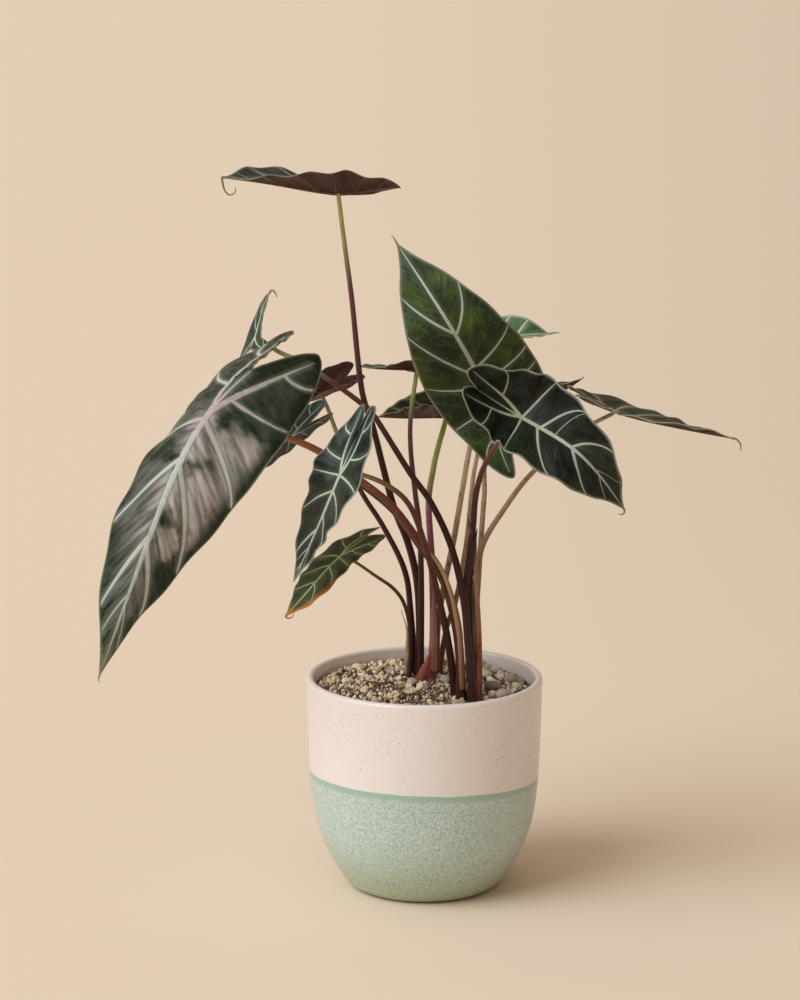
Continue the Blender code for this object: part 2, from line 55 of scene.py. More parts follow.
# Studio: a pale floor, one broad key from the left and an even warm room. Lengths here are metres.
studio = {
    "floorRadius": 16.0,
    "floorSegments": 96,
    "floorColour": (0.80, 0.665, 0.515),
    # the floor's colour at the right and back, painted shade
    "floorPaintedShade": (0.70, 0.575, 0.445),
    "shadeAside": (-0.06, 0.14),    # the floor's tone turns between these slopes, seen from the camera
    "shadeDepth": (-1.5, 1.5),      # and between these depths
    "roomColour": (1.0, 0.82, 0.67),
    "roomStrength": 0.56,
    "roomLean": 0.5,            # how much brighter the room is on the left than on the right
    "keyFrom": (-1.0, -0.6, 1.05),
    "keyAngle": 46.0,           # how wide the key looks, in degrees
    "keyStrength": 2.4,
    "keyColour": (0.80, 0.91, 1.0),
    "cameraPlace": (-0.016, -2.118, 0.705),
    "cameraPitch": 78.1,
    "lens": 120.0,
}


def makeStudio():
    bm = bmesh.new()
    bmesh.ops.create_circle(bm, cap_ends=True, segments=studio["floorSegments"],
                            radius=studio["floorRadius"])
    sheet = bpy.data.meshes.new("floor")
    bm.to_mesh(sheet)
    bm.free()
    material, tree = newMaterial("floorPaper", studio["floorColour"], 0.9)
    # painted shade: the paper's colour darkens towards the right and further back, where it is lit a little
    # less
    x, y = partsOf(tree, objectPlace(tree))[:2]
    away = mathOf(tree, "MAXIMUM", mathOf(tree, "SUBTRACT", y, studio["cameraPlace"][1]), 0.6)
    right = rangeOf(tree, mathOf(tree, "DIVIDE", x, away), *studio["shadeAside"])
    dim = times(tree, right, rangeOf(tree, y, *studio["shadeDepth"]))
    tone = mixColours(tree, dim, studio["floorColour"], studio["floorPaintedShade"])
    sheet.materials.append(finishMaterial(material, tone))
    floor = addObject("floor", sheet)

    scene.world = bpy.data.worlds.new("room")
    scene.world.use_nodes = True
    tree = scene.world.node_tree
    room = tree.nodes["Background"]
    room.inputs["Color"].default_value = (*studio["roomColour"], 1.0)
    across = partsOf(tree, addNode(tree, "ShaderNodeTexCoord", output="Generated"))[0]
    strength = studio["roomStrength"]
    tree.links.new(timesPlus(tree, across, -studio["roomLean"] * strength, strength), room.inputs["Strength"])
    light = bpy.data.lights.new("key", "SUN")
    light.energy = studio["keyStrength"]
    light.angle = math.radians(studio["keyAngle"])
    light.color = studio["keyColour"]
    addObject("key", light).rotation_euler = (-Vector(studio["keyFrom"])).to_track_quat("-Z", "Y").to_euler()

    camera = addObject("camera", bpy.data.cameras.new("camera"))
    camera.data.lens = studio["lens"]
    camera.data.sensor_width = 36.0
    camera.data.clip_end = 100.0
    camera.location = studio["cameraPlace"]
    camera.rotation_euler = (math.radians(studio["cameraPitch"]), 0.0, 0.0)
    scene.camera = camera
    scene.view_settings.view_transform = "Standard"


# Node building blocks for materials and for Geometry Nodes. Each gives the socket that carries its result.

def addNode(tree, kind, inputs=(), output=0, **settings):
    made = tree.nodes.new(kind)
    for key, value in settings.items():
        setattr(made, key, value)
    for key, value in dict(inputs).items():
        for one in value if isinstance(value, list) else [value]:
            if isinstance(one, bpy.types.NodeSocket):
                tree.links.new(one, made.inputs[key])
            elif made.inputs[key].type == "RGBA":
                made.inputs[key].default_value = (*one, 1.0)
            else:
                made.inputs[key].default_value = one
    return made.outputs if output is None else made.outputs[output]


def objectPlace(tree, scale=None):
    place = addNode(tree, "ShaderNodeTexCoord", output="Object")
    return addNode(tree, "ShaderNodeMapping", {"Vector": place, "Scale": scale}) if scale else place


def attributeOf(tree, name, output="Fac"):
    return addNode(tree, "ShaderNodeAttribute", (), output, attribute_name=name)


def partsOf(tree, vector):
    return addNode(tree, "ShaderNodeSeparateXYZ", {0: vector}, None)


def noiseOf(tree, place, scale, detail=2.0, roughness=0.5, distortion=0.0, output=0):
    return addNode(tree, "ShaderNodeTexNoise", {
        "Vector": place, "Scale": scale, "Detail": detail, "Roughness": roughness,
        "Distortion": distortion}, output)


def cellsOf(tree, place, scale, output=0, feature="F1"):
    return addNode(tree, "ShaderNodeTexVoronoi", {"Vector": place, "Scale": scale}, output, feature=feature)


def rangeOf(tree, value, low, high, start=0.0, end=1.0):
    # smooth step from start to end while the value goes from low to high
    return addNode(tree, "ShaderNodeMapRange", {0: value, 1: low, 2: high, 3: start, 4: end},
                   interpolation_type="SMOOTHSTEP")


def mathOf(tree, operation, *values):
    return addNode(tree, "ShaderNodeMath", dict(enumerate(values)), operation=operation)


def times(tree, first, *others):
    for other in others:
        first = mathOf(tree, "MULTIPLY", first, other)
    return first


def timesPlus(tree, value, factor, more):
    return mathOf(tree, "MULTIPLY_ADD", value, factor, more)


def vectorOf(tree, operation, *values):
    keys = (0, "Scale") if operation == "SCALE" else (0, 1)
    return addNode(tree, "ShaderNodeVectorMath", dict(zip(keys, values)), operation=operation)


def rampOf(tree, factor, stops):
    # colour ramp through (place, colour) stops
    colour = addNode(tree, "ShaderNodeValToRGB", {0: factor})
    elements = colour.node.color_ramp.elements
    elements.remove(elements[1])
    elements[0].position = stops[0][0]
    elements[0].color = (*stops[0][1], 1.0)
    for place, tint in stops[1:]:
        elements.new(place).color = (*tint, 1.0)
    return colour


def mixColours(tree, factor, first, second):
    return addNode(tree, "ShaderNodeMix", {0: factor, 6: first, 7: second}, 2, data_type="RGBA")


def bumpOf(tree, height, distance, strength=1.0):
    return addNode(tree, "ShaderNodeBump", {"Height": height, "Distance": distance, "Strength": strength})


def newMaterial(name, colour, roughness, specular=0.5, coat=0.0):
    material = bpy.data.materials.new(name)
    material.use_nodes = True
    material.diffuse_color = (*colour, 1.0)
    shader = material.node_tree.nodes["Principled BSDF"]
    shader.inputs["Base Color"].default_value = (*colour, 1.0)
    for key, value in (("Roughness", roughness), ("Specular IOR Level", specular), ("Coat Weight", coat),
                       ("Coat Roughness", 0.18)):
        shader.inputs[key].default_value = value
    return material, material.node_tree


def finishMaterial(material, body, bump=None, gloss=None):
    tree = material.node_tree
    shader = tree.nodes["Principled BSDF"]
    for key, socket in (("Base Color", body), ("Normal", bump), ("Roughness", gloss)):
        if socket is not None:
            tree.links.new(socket, shader.inputs[key])
    return material


def newTree(name, inputs):
    # Geometry Nodes tree with a mesh, these named (socket kind, value) inputs and a material
    tree = bpy.data.node_groups.new(name, "GeometryNodeTree")
    inputs = {"Geometry": ("Geometry", None), **inputs, "Material": ("Material", None)}
    for label, (kind, value) in inputs.items():
        socket = tree.interface.new_socket(label, in_out="INPUT", socket_type="NodeSocket" + kind)
        if value is not None:
            socket.default_value = value
    tree.interface.new_socket("Geometry", in_out="OUTPUT", socket_type="NodeSocketGeometry")
    return tree, tree.nodes.new("NodeGroupInput").outputs


def endTree(tree, geometry, given, smooth=True):
    shaded = addNode(tree, "GeometryNodeSetShadeSmooth", {"Geometry": geometry, "Shade Smooth": smooth})
    real = addNode(tree, "GeometryNodeRealizeInstances", {"Geometry": shaded})
    painted = addNode(tree, "GeometryNodeSetMaterial", {"Geometry": real, "Material": given["Material"]})
    tree.links.new(painted, tree.nodes.new("NodeGroupOutput").inputs["Geometry"])
    return tree


def runTree(name, mesh, tree, values):
    # runs the tree on the mesh and gives the result as a plain mesh object
    source = addObject(name + "Source", mesh)
    modifier = source.modifiers.new(tree.name, "NODES")
    modifier.node_group = tree
    for item in tree.interface.items_tree:
        if item.in_out == "INPUT" and item.name in values:
            modifier[item.identifier] = values[item.name]
    graph = bpy.context.evaluated_depsgraph_get()
    result = bpy.data.meshes.new_from_object(source.evaluated_get(graph), preserve_all_data_layers=True,
                                             depsgraph=graph)
    bpy.data.objects.remove(source)
    result.name = name
    return addObject(name, result)


# Mesh building blocks.

def addObject(name, data):
    made = bpy.data.objects.new(name, data)
    scene.collection.objects.link(made)
    return made


def newMesh(name, points, faces, edges=()):
    # from points in millimetres
    mesh = bpy.data.meshes.new(name)
    mesh.from_pydata((np.asarray(points) * mm).tolist(), list(edges), faces)
    mesh.shade_smooth()
    return mesh


def chainMesh(name, points):
    return newMesh(name, points, [], [(i, i + 1) for i in range(len(points) - 1)])


def storeValues(mesh, name, values):
    values = np.asarray(values, np.float32)
    kind, key = ("FLOAT", "value") if values.ndim == 1 else ("FLOAT_VECTOR", "vector")
    mesh.attributes.new(name, kind, "POINT").data.foreach_set(key, values.ravel())


def slotOf(node):
    return next(row["material_slot"] for row in frame["record"]["subparts"] if row["node"] == node)


def turnOutwards(mesh):
    bm = bmesh.new()
    bm.from_mesh(mesh)
    bmesh.ops.recalc_face_normals(bm, faces=bm.faces)
    bm.to_mesh(mesh)
    bm.free()


def finishPiece(piece, slot, *nodes):
    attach(piece, "root")
    if nodes:
        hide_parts(*nodes)


def unit(vectors):
    return vectors / np.linalg.norm(vectors, axis=-1, keepdims=True)


def stretch(path):
    # distance along the path at each of its points
    return np.r_[0, np.cumsum(np.linalg.norm(np.diff(path, axis=0), axis=1))]


def spaced(path, count):
    # the path again with this many points, evenly spaced
    run = stretch(path)
    places = np.linspace(0, run[-1], count)
    return np.stack([np.interp(places, run, path[:, k]) for k in range(path.shape[1])], axis=1)


def smoothPath(points, count):
    # Catmull-Rom curve through the points
    points = np.asarray(points, float)
    last = len(points) - 1
    place = np.linspace(0, last, count)
    index = np.minimum(place.astype(int), last - 1)
    part = (place - index)[:, None]
    ends = np.vstack([2 * points[0] - points[1], points, 2 * points[-1] - points[-2]])
    before, start, end, after = (ends[index + k] for k in range(4))
    return 0.5 * (2 * start + (end - before) * part + (2 * before - 5 * start + 4 * end - after) * part ** 2
                  + (3 * start - before - 3 * end + after) * part ** 3)


def evenPath(points, step):
    # the same curve with its points this far apart
    fine = smoothPath(points, 40 * len(points))
    return spaced(fine, max(4, int(round(stretch(fine)[-1] / step)) + 1))


def smoothStep(value):
    value = np.clip(value, 0, 1)
    return value * value * (3 - 2 * value)


def roundPoints(radius, segments, height):
    # ring about Z, its height a function of the place
    ring = [(radius * math.cos(2 * math.pi * s / segments), radius * math.sin(2 * math.pi * s / segments))
            for s in range(segments)]
    return [(x, y, height(x, y)) for x, y in ring]


def gridFaces(rows, wide, start=0, closed=False):
    # faces between rows of points, the points given row after row
    faces = []
    for row in range(rows - 1):
        low = start + row * wide
        for here in range(wide if closed else wide - 1):
            there = (here + 1) % wide
            faces.append((low + here, low + wide + here, low + wide + there, low + there))
    return faces


def flipped(faces):
    return [(face[0], *face[:0:-1]) for face in faces]


def tubePoints(path, radius, first, second, sides):
    # rings round a path, in the plane of the two directions
    angles = (2 * math.pi * np.arange(sides) / sides)[None, :, None]
    ring = np.cos(angles) * first[:, None, :] + np.sin(angles) * second[:, None, :]
    return (path[:, None, :] + radius[:, None, None] * ring).reshape(-1, 3)


def tubeFaces(rings, sides):
    caps = [tuple(range(sides))[::-1], tuple(range((rings - 1) * sides, rings * sides))]
    return caps + flipped(gridFaces(rings, sides, closed=True))


# Pot: turned from its profile. The glaze line is tilted, as dipped by hand.
pot = {
    "wall": 5.0,
    "floor": 9.0,
    "corner": 4.0,
    # radius and height of the outside, and heights down the inside
    "side": ((45.0, 0.0), (49.4, 2.2), (53.0, 5.6), (56.4, 10.4), (59.3, 15.1), (63.3, 22.5), (67.0, 30.6),
             (70.0, 39.0), (73.0, 51.6), (75.2, 71.8), (76.5, 100.0), (77.5, 139.0)),
    "inside": (134.0, 126.0, 113.0, 100.0, 86.0, 72.0, 62.0, 52.0, 42.0, 32.0, 24.0, 18.0),
    "footRound": 0.8,
    "lipSteps": 14,
    "segments": 224,
    "core": 20.0,               # radius of the circle that the profile is turned round
    "wobble": 0.12,
    "glazeLine": 76.6,
    "glazeTilt": (0.032, 0.068),
    "specks": ((620.0, 0.22, 0.8), (430.0, 0.19, 0.9), (230.0, 0.125, 0.95)),   # scale, size, strength
    "cream": (0.80, 0.755, 0.725),
    "creamWarm": (0.78, 0.72, 0.68),
    # the inside glaze: greyer, and paler than the outside as painted light on the shaded inner wall
    "inner": (0.88, 0.83, 0.81),
    "speck": (0.26, 0.12, 0.05),
    "sea": (0.50, 0.62, 0.565),
    "seaPale": (0.58, 0.70, 0.655),
    "seaOlive": (0.42, 0.47, 0.30),
    "seaSpeck": (0.085, 0.15, 0.115),
    "seaBand": (0.31, 0.47, 0.39),
    "clay": (0.22, 0.15, 0.10),
}


def potMaterial():
    material, tree = newMaterial("twoToneGlaze", pot["cream"], 0.3, coat=0.25)
    place = objectPlace(tree)
    x, y, z = partsOf(tree, place)
    line = timesPlus(tree, y, pot["glazeTilt"][1], timesPlus(tree, x, pot["glazeTilt"][0], z))
    line = timesPlus(tree, noiseOf(tree, place, 55.0), 0.0012, line)
    line = mathOf(tree, "SUBTRACT", line, pot["glazeLine"] * mm)

    # cream glaze with iron specks, broken up so that they gather here and there; inside it is greyer, and
    # painted paler as painted light on the shaded inner wall
    cream = mixColours(tree, noiseOf(tree, place, 22.0, 3.0), pot["cream"], pot["creamWarm"])
    gather = rangeOf(tree, noiseOf(tree, place, 45.0), 0.42, 0.62)
    for scale, size, strength in pot["specks"]:
        near, tint = cellsOf(tree, place, scale, None)[:2]
        chosen = times(tree, rangeOf(tree, near, size * 0.5, size, 1.0, 0.0),
                       rangeOf(tree, partsOf(tree, tint)[0], 0.3, 0.55),
                       timesPlus(tree, gather, strength * 0.8, strength * 0.2))
        cream = mixColours(tree, chosen, cream, pot["speck"])
    # painted light: inside the mouth the glaze turns greyer and paler, lifting the shaded inner wall
    radius = mathOf(tree, "SQRT", timesPlus(tree, x, x, times(tree, y, y)))
    inside = times(tree, rangeOf(tree, radius, 0.0738, 0.0727), rangeOf(tree, z, 0.1405, 0.138))
    cream = mixColours(tree, inside, cream, pot["inner"])

    # sea green glaze, mottled, olive towards the foot, dense with short dark flecks
    sea = mixColours(tree, noiseOf(tree, place, 30.0, 4.0, 0.6), pot["sea"], pot["seaPale"])
    sea = mixColours(tree, rangeOf(tree, z, 0.045, 0.0, 0.0, 0.8), sea, pot["seaOlive"])
    worms = mathOf(tree, "ABSOLUTE", mathOf(tree, "SUBTRACT", noiseOf(tree, place, 820.0, 1.0), 0.5))
    flecks = times(tree, rangeOf(tree, worms, 0.04, 0.09, 1.0, 0.0),
                   rangeOf(tree, noiseOf(tree, place, 1000.0, 1.0), 0.41, 0.51))
    sea = mixColours(tree, times(tree, flecks, 0.56), sea, pot["seaSpeck"])
    band = rangeOf(tree, line, -0.0055, -0.0024)
    sea = mixColours(tree, times(tree, band, 0.85), sea, pot["seaBand"])

    upper = rangeOf(tree, line, -0.00035, 0.00035)
    foot = rangeOf(tree, z, 0.0016, 0.0008)
    body = mixColours(tree, foot, mixColours(tree, upper, sea, cream), pot["clay"])
    gloss = rangeOf(tree, noiseOf(tree, place, 90.0, 3.0), 0.3, 0.7, 0.27, 0.38)
    # the lower glaze is thicker: a small step at the line, and faint orange peel all over
    step = timesPlus(tree, band, 0.6, times(tree, upper, -0.9))
    height = timesPlus(tree, noiseOf(tree, place, 420.0, 3.0, 0.6), 0.35, step)
    bump = bumpOf(tree, timesPlus(tree, flecks, -0.12, height), 0.00022, 0.8)
    return finishMaterial(material, body, bump, timesPlus(tree, foot, 0.5, gloss))


def latheTree():
    # turns the profile, given as edges in the XY plane, about Z
    tree, given = newTree("turnedProfile", {
        "Segments": ("Int", 96), "Core": ("Float", 0.02), "Wobble": ("Float", 0.0)})
    profile = addNode(tree, "GeometryNodeMeshToCurve", {"Mesh": given["Geometry"]})
    wheel = addNode(tree, "GeometryNodeCurvePrimitiveCircle", {
        "Resolution": given["Segments"], "Radius": given["Core"]})
    turned = addNode(tree, "GeometryNodeCurveToMesh", {"Curve": wheel, "Profile Curve": profile})
    welded = addNode(tree, "GeometryNodeMergeByDistance", {"Geometry": turned, "Distance": 0.00001})
    sway = noiseOf(tree, addNode(tree, "GeometryNodeInputPosition"), 14.0, 1.0, output="Color")
    sway = vectorOf(tree, "SUBTRACT", sway, (0.5, 0.5, 0.5))
    sway = vectorOf(tree, "MULTIPLY", sway, (1.0, 1.0, 0.0))
    moved = addNode(tree, "GeometryNodeSetPosition", {
        "Geometry": welded, "Offset": vectorOf(tree, "SCALE", sway, given["Wobble"])})
    return endTree(tree, moved, given)


def sideRadius(height):
    return float(np.interp(height, [z for r, z in pot["side"]], [r for r, z in pot["side"]]))


def potProfile():
    low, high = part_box("pot")
    lip = pot["wall"] / 2
    rim, top = (high.x - low.x) / 2 / mm - lip, high.z / mm - lip
    foot, floor = pot["side"][0][0], pot["floor"]
    profile = [(0.0, 0.0), (foot - pot["footRound"], 0.0), (foot - 0.1, 0.25), (foot + 0.4, 0.55)]
    profile += [tuple(p) for p in smoothPath(pot["side"], 78)[2:]]
    for step in range(1, pot["lipSteps"] + 1):
        angle = math.pi * step / pot["lipSteps"]
        profile.append((rim + lip * math.cos(angle), top + lip * math.sin(angle)))
    profile += [(sideRadius(z) - pot["wall"], z) for z in pot["inside"]]
    return profile + [(sideRadius(floor) - pot["wall"] - pot["corner"], floor), (0.0, floor)]


def makePot():
    mesh = chainMesh("potProfile", [(r - pot["core"], -z, 0.0) for r, z in potProfile()])
    piece = runTree("glazed_pot", mesh, latheTree(), {
        "Segments": pot["segments"], "Core": pot["core"] * mm, "Wobble": pot["wobble"] * mm,
        "Material": potMaterial()})
    turnOutwards(piece.data)
    finishPiece(piece, "pot_glaze", "pot")


# Potting mix, grit and pebbles.
mix = {
    "top": 132.0,
    "tilt": (-0.014, 0.012),
    "mound": 1.6,
    "mouth": 77.5,              # radius of the pot's mouth
    "wave": 0.5,
    "waves": (9.0, 7.0),
    "gap": 0.35,
    "rings": 64,
    "segments": 150,
    "lumps": 0.9,
    "levels": (118.0, 100.0, 72.0, 52.0, 32.0, 18.0),       # heights down the side of the plug
    "edgeAt": 130.0,            # height at which the mix and the grit meet the wall
    "bedRings": 24,
    "bedSegments": 72,
    "patchSize": 13.0,          # size of the patches in which each kind of grit gathers
    "dark": (0.055, 0.034, 0.023),
    "brown": (0.24, 0.15, 0.10),
    "dust": (0.44, 0.36, 0.26),
}

# kinds of grit: how many per square metre, radii, detail, lift as a share of the radius, the way they lean
# over the bed, and colours
grit = {
    "crumbs": {"density": 620000.0, "smallest": 0.35, "largest": 1.0, "detail": 1, "lift": 0.25, "seed": 3,
        "lean": (0.2, -0.4), "slot": "potting_mix", "colours": ((0.0, (0.045, 0.027, 0.019)),
            (0.35, (0.19, 0.115, 0.075)), (0.6, (0.42, 0.29, 0.19)), (0.78, (0.76, 0.62, 0.44)),
            (1.0, (0.98, 0.88, 0.7)))},
    "chips": {"density": 60000.0, "smallest": 0.7, "largest": 2.1, "detail": 1, "lift": 0.35, "seed": 51,
        "lean": (-0.6, 0.55), "slot": "stones",
        "colours": ((0.0, (0.5, 0.36, 0.22)), (0.3, (0.9, 0.74, 0.5)), (1.0, (1.0, 0.9, 0.7)))},
    "pumice": {"density": 15000.0, "smallest": 1.2, "largest": 2.9, "detail": 2, "lift": 0.4, "seed": 11,
        "lean": (-0.7, 0.35), "slot": "stones", "colours": ((0.0, (0.7, 0.53, 0.33)),
            (0.3, (0.97, 0.82, 0.58)), (0.8, (1.0, 0.91, 0.73)), (1.0, (0.48, 0.36, 0.26)))},
    "gravel": {"density": 11000.0, "smallest": 1.5, "largest": 3.4, "detail": 2, "lift": 0.4, "seed": 37,
        "lean": (1.6, 0.1), "slot": "stones", "colours": ((0.0, (0.5, 0.41, 0.3)), (0.4, (0.74, 0.66, 0.5)),
            (0.8, (0.9, 0.83, 0.66)), (1.0, (0.2, 0.18, 0.16)))},
    "bark": {"density": 9000.0, "smallest": 1.0, "largest": 2.6, "detail": 1, "lift": 0.3, "seed": 23,
        "lean": (0.0, 0.0), "slot": "potting_mix",
        "colours": ((0.0, (0.02, 0.014, 0.01)), (0.6, (0.07, 0.04, 0.026)), (1.0, (0.17, 0.09, 0.05)))},
}

pebble = {
    "colours": ((0.0, (0.50, 0.43, 0.33)), (0.4, (0.66, 0.59, 0.46)), (0.75, (0.80, 0.74, 0.60)),
                (1.0, (0.22, 0.20, 0.18))),
    "seed": 8,
    "weld": 0.002,
    "roughness": 0.22,
    "roughScale": 420.0,
}


def soilHeight(x, y):
    span = math.hypot(x, y) / mix["mouth"]
    wave = mix["wave"] * math.sin(x / mix["waves"][0]) * math.cos(y / mix["waves"][1])
    return mix["top"] + mix["tilt"][0] * x + mix["tilt"][1] * y + mix["mound"] * (1 - span) + wave


def lumpyHeight(x, y):
    lumps = noise.fractal(Vector((x / 5.0, y / 5.0, 4.0)), 0.6, 2.0, 4)
    return soilHeight(x, y) - 0.5 + mix["lumps"] * lumps


def discMesh(radius, rings, segments, height):
    # points and faces of a round patch whose height is a function of the place
    points = [(0.0, 0.0, height(0.0, 0.0))]
    for ring in range(1, rings + 1):
        points += roundPoints(radius * ring / rings, segments, height)
    centre = [(0, 1 + s, 1 + (s + 1) % segments) for s in range(segments)]
    return points, centre + gridFaces(rings, segments, 1, True)


def soilMaterial():
    material, tree = newMaterial("darkMix", mix["brown"], 0.95, 0.25)
    place = objectPlace(tree)
    body = mixColours(tree, noiseOf(tree, place, 260.0, 5.0, 0.7), mix["dark"], mix["brown"])
    grains = times(tree, rangeOf(tree, cellsOf(tree, place, 900.0), 0.22, 0.36, 1.0, 0.0),
                   rangeOf(tree, noiseOf(tree, place, 300.0), 0.48, 0.6))
    body = mixColours(tree, grains, body, mix["dust"])
    return finishMaterial(material, body, bumpOf(tree, noiseOf(tree, place, 700.0, 4.0, 0.7), 0.0005))


def makeSoil():
    segments = mix["segments"]
    reach = sideRadius(mix["edgeAt"]) - pot["wall"] - mix["gap"]
    points, faces = discMesh(reach, mix["rings"], segments, lumpyHeight)
    rim = len(points) - segments
    for level in mix["levels"]:
        points += roundPoints(sideRadius(level) - pot["wall"] - mix["gap"], segments, lambda x, y: level)
    faces += gridFaces(len(mix["levels"]) + 1, segments, rim, True)
    last = len(points) - segments
    points.append((0.0, 0.0, mix["levels"][-1]))
    faces += [(last + s, len(points) - 1, last + (s + 1) % segments) for s in range(segments)]
    piece = addObject("potting_mix_fill", newMesh("potting_mix_fill", points, faces))
    turnOutwards(piece.data)
    piece.data.materials.append(soilMaterial())
    finishPiece(piece, "potting_mix", "soil")


def stoneMaterial(name, colours, roughness, specular, dirt, bump):
    # dirt: scale, detail and roughness of its noise, range, strength and colour; bump: the same three
    material, tree = newMaterial(name, colours[0][1], roughness, specular)
    place = objectPlace(tree)
    scale, detail, rough, low, high, strength, colour = dirt
    mottle = rangeOf(tree, noiseOf(tree, place, scale, detail, rough), low, high, 0.0, strength)
    body = mixColours(tree, mottle, rampOf(tree, attributeOf(tree, "tone"), colours), colour)
    return finishMaterial(material, body, bumpOf(tree, noiseOf(tree, place, *bump), 0.0002))


def chanceOf(tree, kind, seed, inputs=(), output=0):
    return addNode(tree, "FunctionNodeRandomValue", {**dict(inputs), "Seed": seed}, output, data_type=kind)


def gritTree():
    # scatters five angular stone shapes over the given patch, each turned and sized by chance
    tree, given = newTree("scatteredGrit", {
        "Density": ("Float", 1000.0), "Smallest": ("Float", 0.001), "Largest": ("Float", 0.003),
        "Detail": ("Int", 1), "Lift": ("Float", 0.3), "Seed": ("Int", 1)})
    share = addNode(tree, "GeometryNodeInputNamedAttribute", {"Name": "share"}, data_type="FLOAT")
    points = addNode(tree, "GeometryNodeDistributePointsOnFaces", {
        "Mesh": given["Geometry"], "Density": times(tree, share, given["Density"]), "Seed": given["Seed"]})
    shapes = []
    for number in range(5):
        ball = addNode(tree, "GeometryNodeMeshIcoSphere", {"Radius": 1.0, "Subdivisions": given["Detail"]})
        dents = addNode(tree, "ShaderNodeTexNoise", {"W": 3.7 * number, "Scale": 0.9, "Detail": 1.0}, "Color",
                        noise_dimensions="4D")
        dents = vectorOf(tree, "SCALE", vectorOf(tree, "SUBTRACT", dents, (0.5, 0.5, 0.5)), 1.9)
        stone = addNode(tree, "GeometryNodeSetPosition", {"Geometry": ball, "Offset": dents})
        stone = addNode(tree, "GeometryNodeTransform", {
            "Geometry": stone, "Scale": (1.0, 0.78 + 0.05 * number, 0.48 + 0.07 * number)})
        shapes.append(addNode(tree, "GeometryNodeGeometryToInstance", {"Geometry": stone}))
    shapes = addNode(tree, "GeometryNodeJoinGeometry", {"Geometry": shapes})
    turn = chanceOf(tree, "FLOAT_VECTOR", given["Seed"], {"Min": (0.0,) * 3, "Max": (6.283,) * 3})
    turn = addNode(tree, "FunctionNodeEulerToRotation", {0: turn})
    small = mathOf(tree, "POWER", chanceOf(tree, "FLOAT", 77, output=1), 1.8)
    span = mathOf(tree, "SUBTRACT", given["Largest"], given["Smallest"])
    size = timesPlus(tree, small, span, given["Smallest"])
    lift = addNode(tree, "ShaderNodeCombineXYZ", {2: times(tree, size, given["Lift"])})
    lifted = addNode(tree, "GeometryNodeSetPosition", {"Geometry": points, "Offset": lift})
    stones = addNode(tree, "GeometryNodeInstanceOnPoints", {
        "Points": lifted, "Instance": shapes, "Pick Instance": True,
        "Instance Index": chanceOf(tree, "INT", 5, {4: 0, 5: 4}, 2), "Rotation": turn, "Scale": size})
    toned = addNode(tree, "GeometryNodeStoreNamedAttribute", {
        "Geometry": stones, "Name": "tone", "Value": chanceOf(tree, "FLOAT", 9, output=1)},
        data_type="FLOAT", domain="INSTANCE")
    return endTree(tree, toned, given, False)


def makeGrit():
    tree = gritTree()
    for name, kind in grit.items():
        reach = sideRadius(mix["edgeAt"]) - pot["wall"] - 0.75 * kind["largest"] - 0.6
        points, faces = discMesh(reach, mix["bedRings"], mix["bedSegments"], soilHeight)
        bed = newMesh(name + "Bed", points, faces)
        leanX, leanY = kind["lean"]
        shares = []
        for x, y, z in points:
            patch = noise.noise(Vector((x / mix["patchSize"], y / mix["patchSize"], kind["seed"])))
            shares.append(max(0.05, 0.55 + (x * leanX + y * leanY) / 70 + 0.9 * patch))
        storeValues(bed, "share", shares)
        stone = stoneMaterial(name + "Stone", kind["colours"], 0.9, 0.3,
                              (900.0, 4.0, 0.7, 0.5, 0.8, 0.3, (0.34, 0.23, 0.14)), (1500.0, 3.0, 0.7))
        piece = runTree("grit_" + name, bed, tree, {
            "Density": kind["density"], "Smallest": kind["smallest"] * mm, "Largest": kind["largest"] * mm,
            "Detail": kind["detail"], "Lift": kind["lift"], "Seed": kind["seed"], "Material": stone})
        finishPiece(piece, kind["slot"])


def makePebbles():
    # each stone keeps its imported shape, made finer and slightly rough
    bm = bmesh.new()
    tone = bm.verts.layers.float.new("tone")
    nodes = sorted(n for n in frame["nodes"] if n.startswith("pebble"))
    rng = random.Random(pebble["seed"])
    for node in nodes:
        start = len(bm.verts)
        bm.from_mesh(frame["nodes"][node].data)
        bm.verts.ensure_lookup_table()
        shade = rng.random()
        for vert in bm.verts[start:]:
            vert[tone] = shade
    bmesh.ops.remove_doubles(bm, verts=bm.verts, dist=pebble["weld"] * mm)
    bmesh.ops.subdivide_edges(bm, edges=bm.edges, cuts=1, use_grid_fill=True, smooth=1.0)
    bm.normal_update()
    for vert in bm.verts:
        rough = noise.fractal(vert.co * pebble["roughScale"], 0.7, 2.0, 3)
        vert.co += vert.normal * pebble["roughness"] * mm * rough
    mesh = bpy.data.meshes.new("pebbles")
    bm.to_mesh(mesh)
    bm.free()
    mesh.shade_smooth()
    mesh.materials.append(stoneMaterial("wornPebble", pebble["colours"], 0.8, 0.35,
                                        (380.0, 5.0, 0.65, 0.35, 0.7, 0.45, (0.20, 0.165, 0.13)),
                                        (1300.0, 4.0, 0.6)))
    finishPiece(addObject("pebbles", mesh), "stones", *nodes)


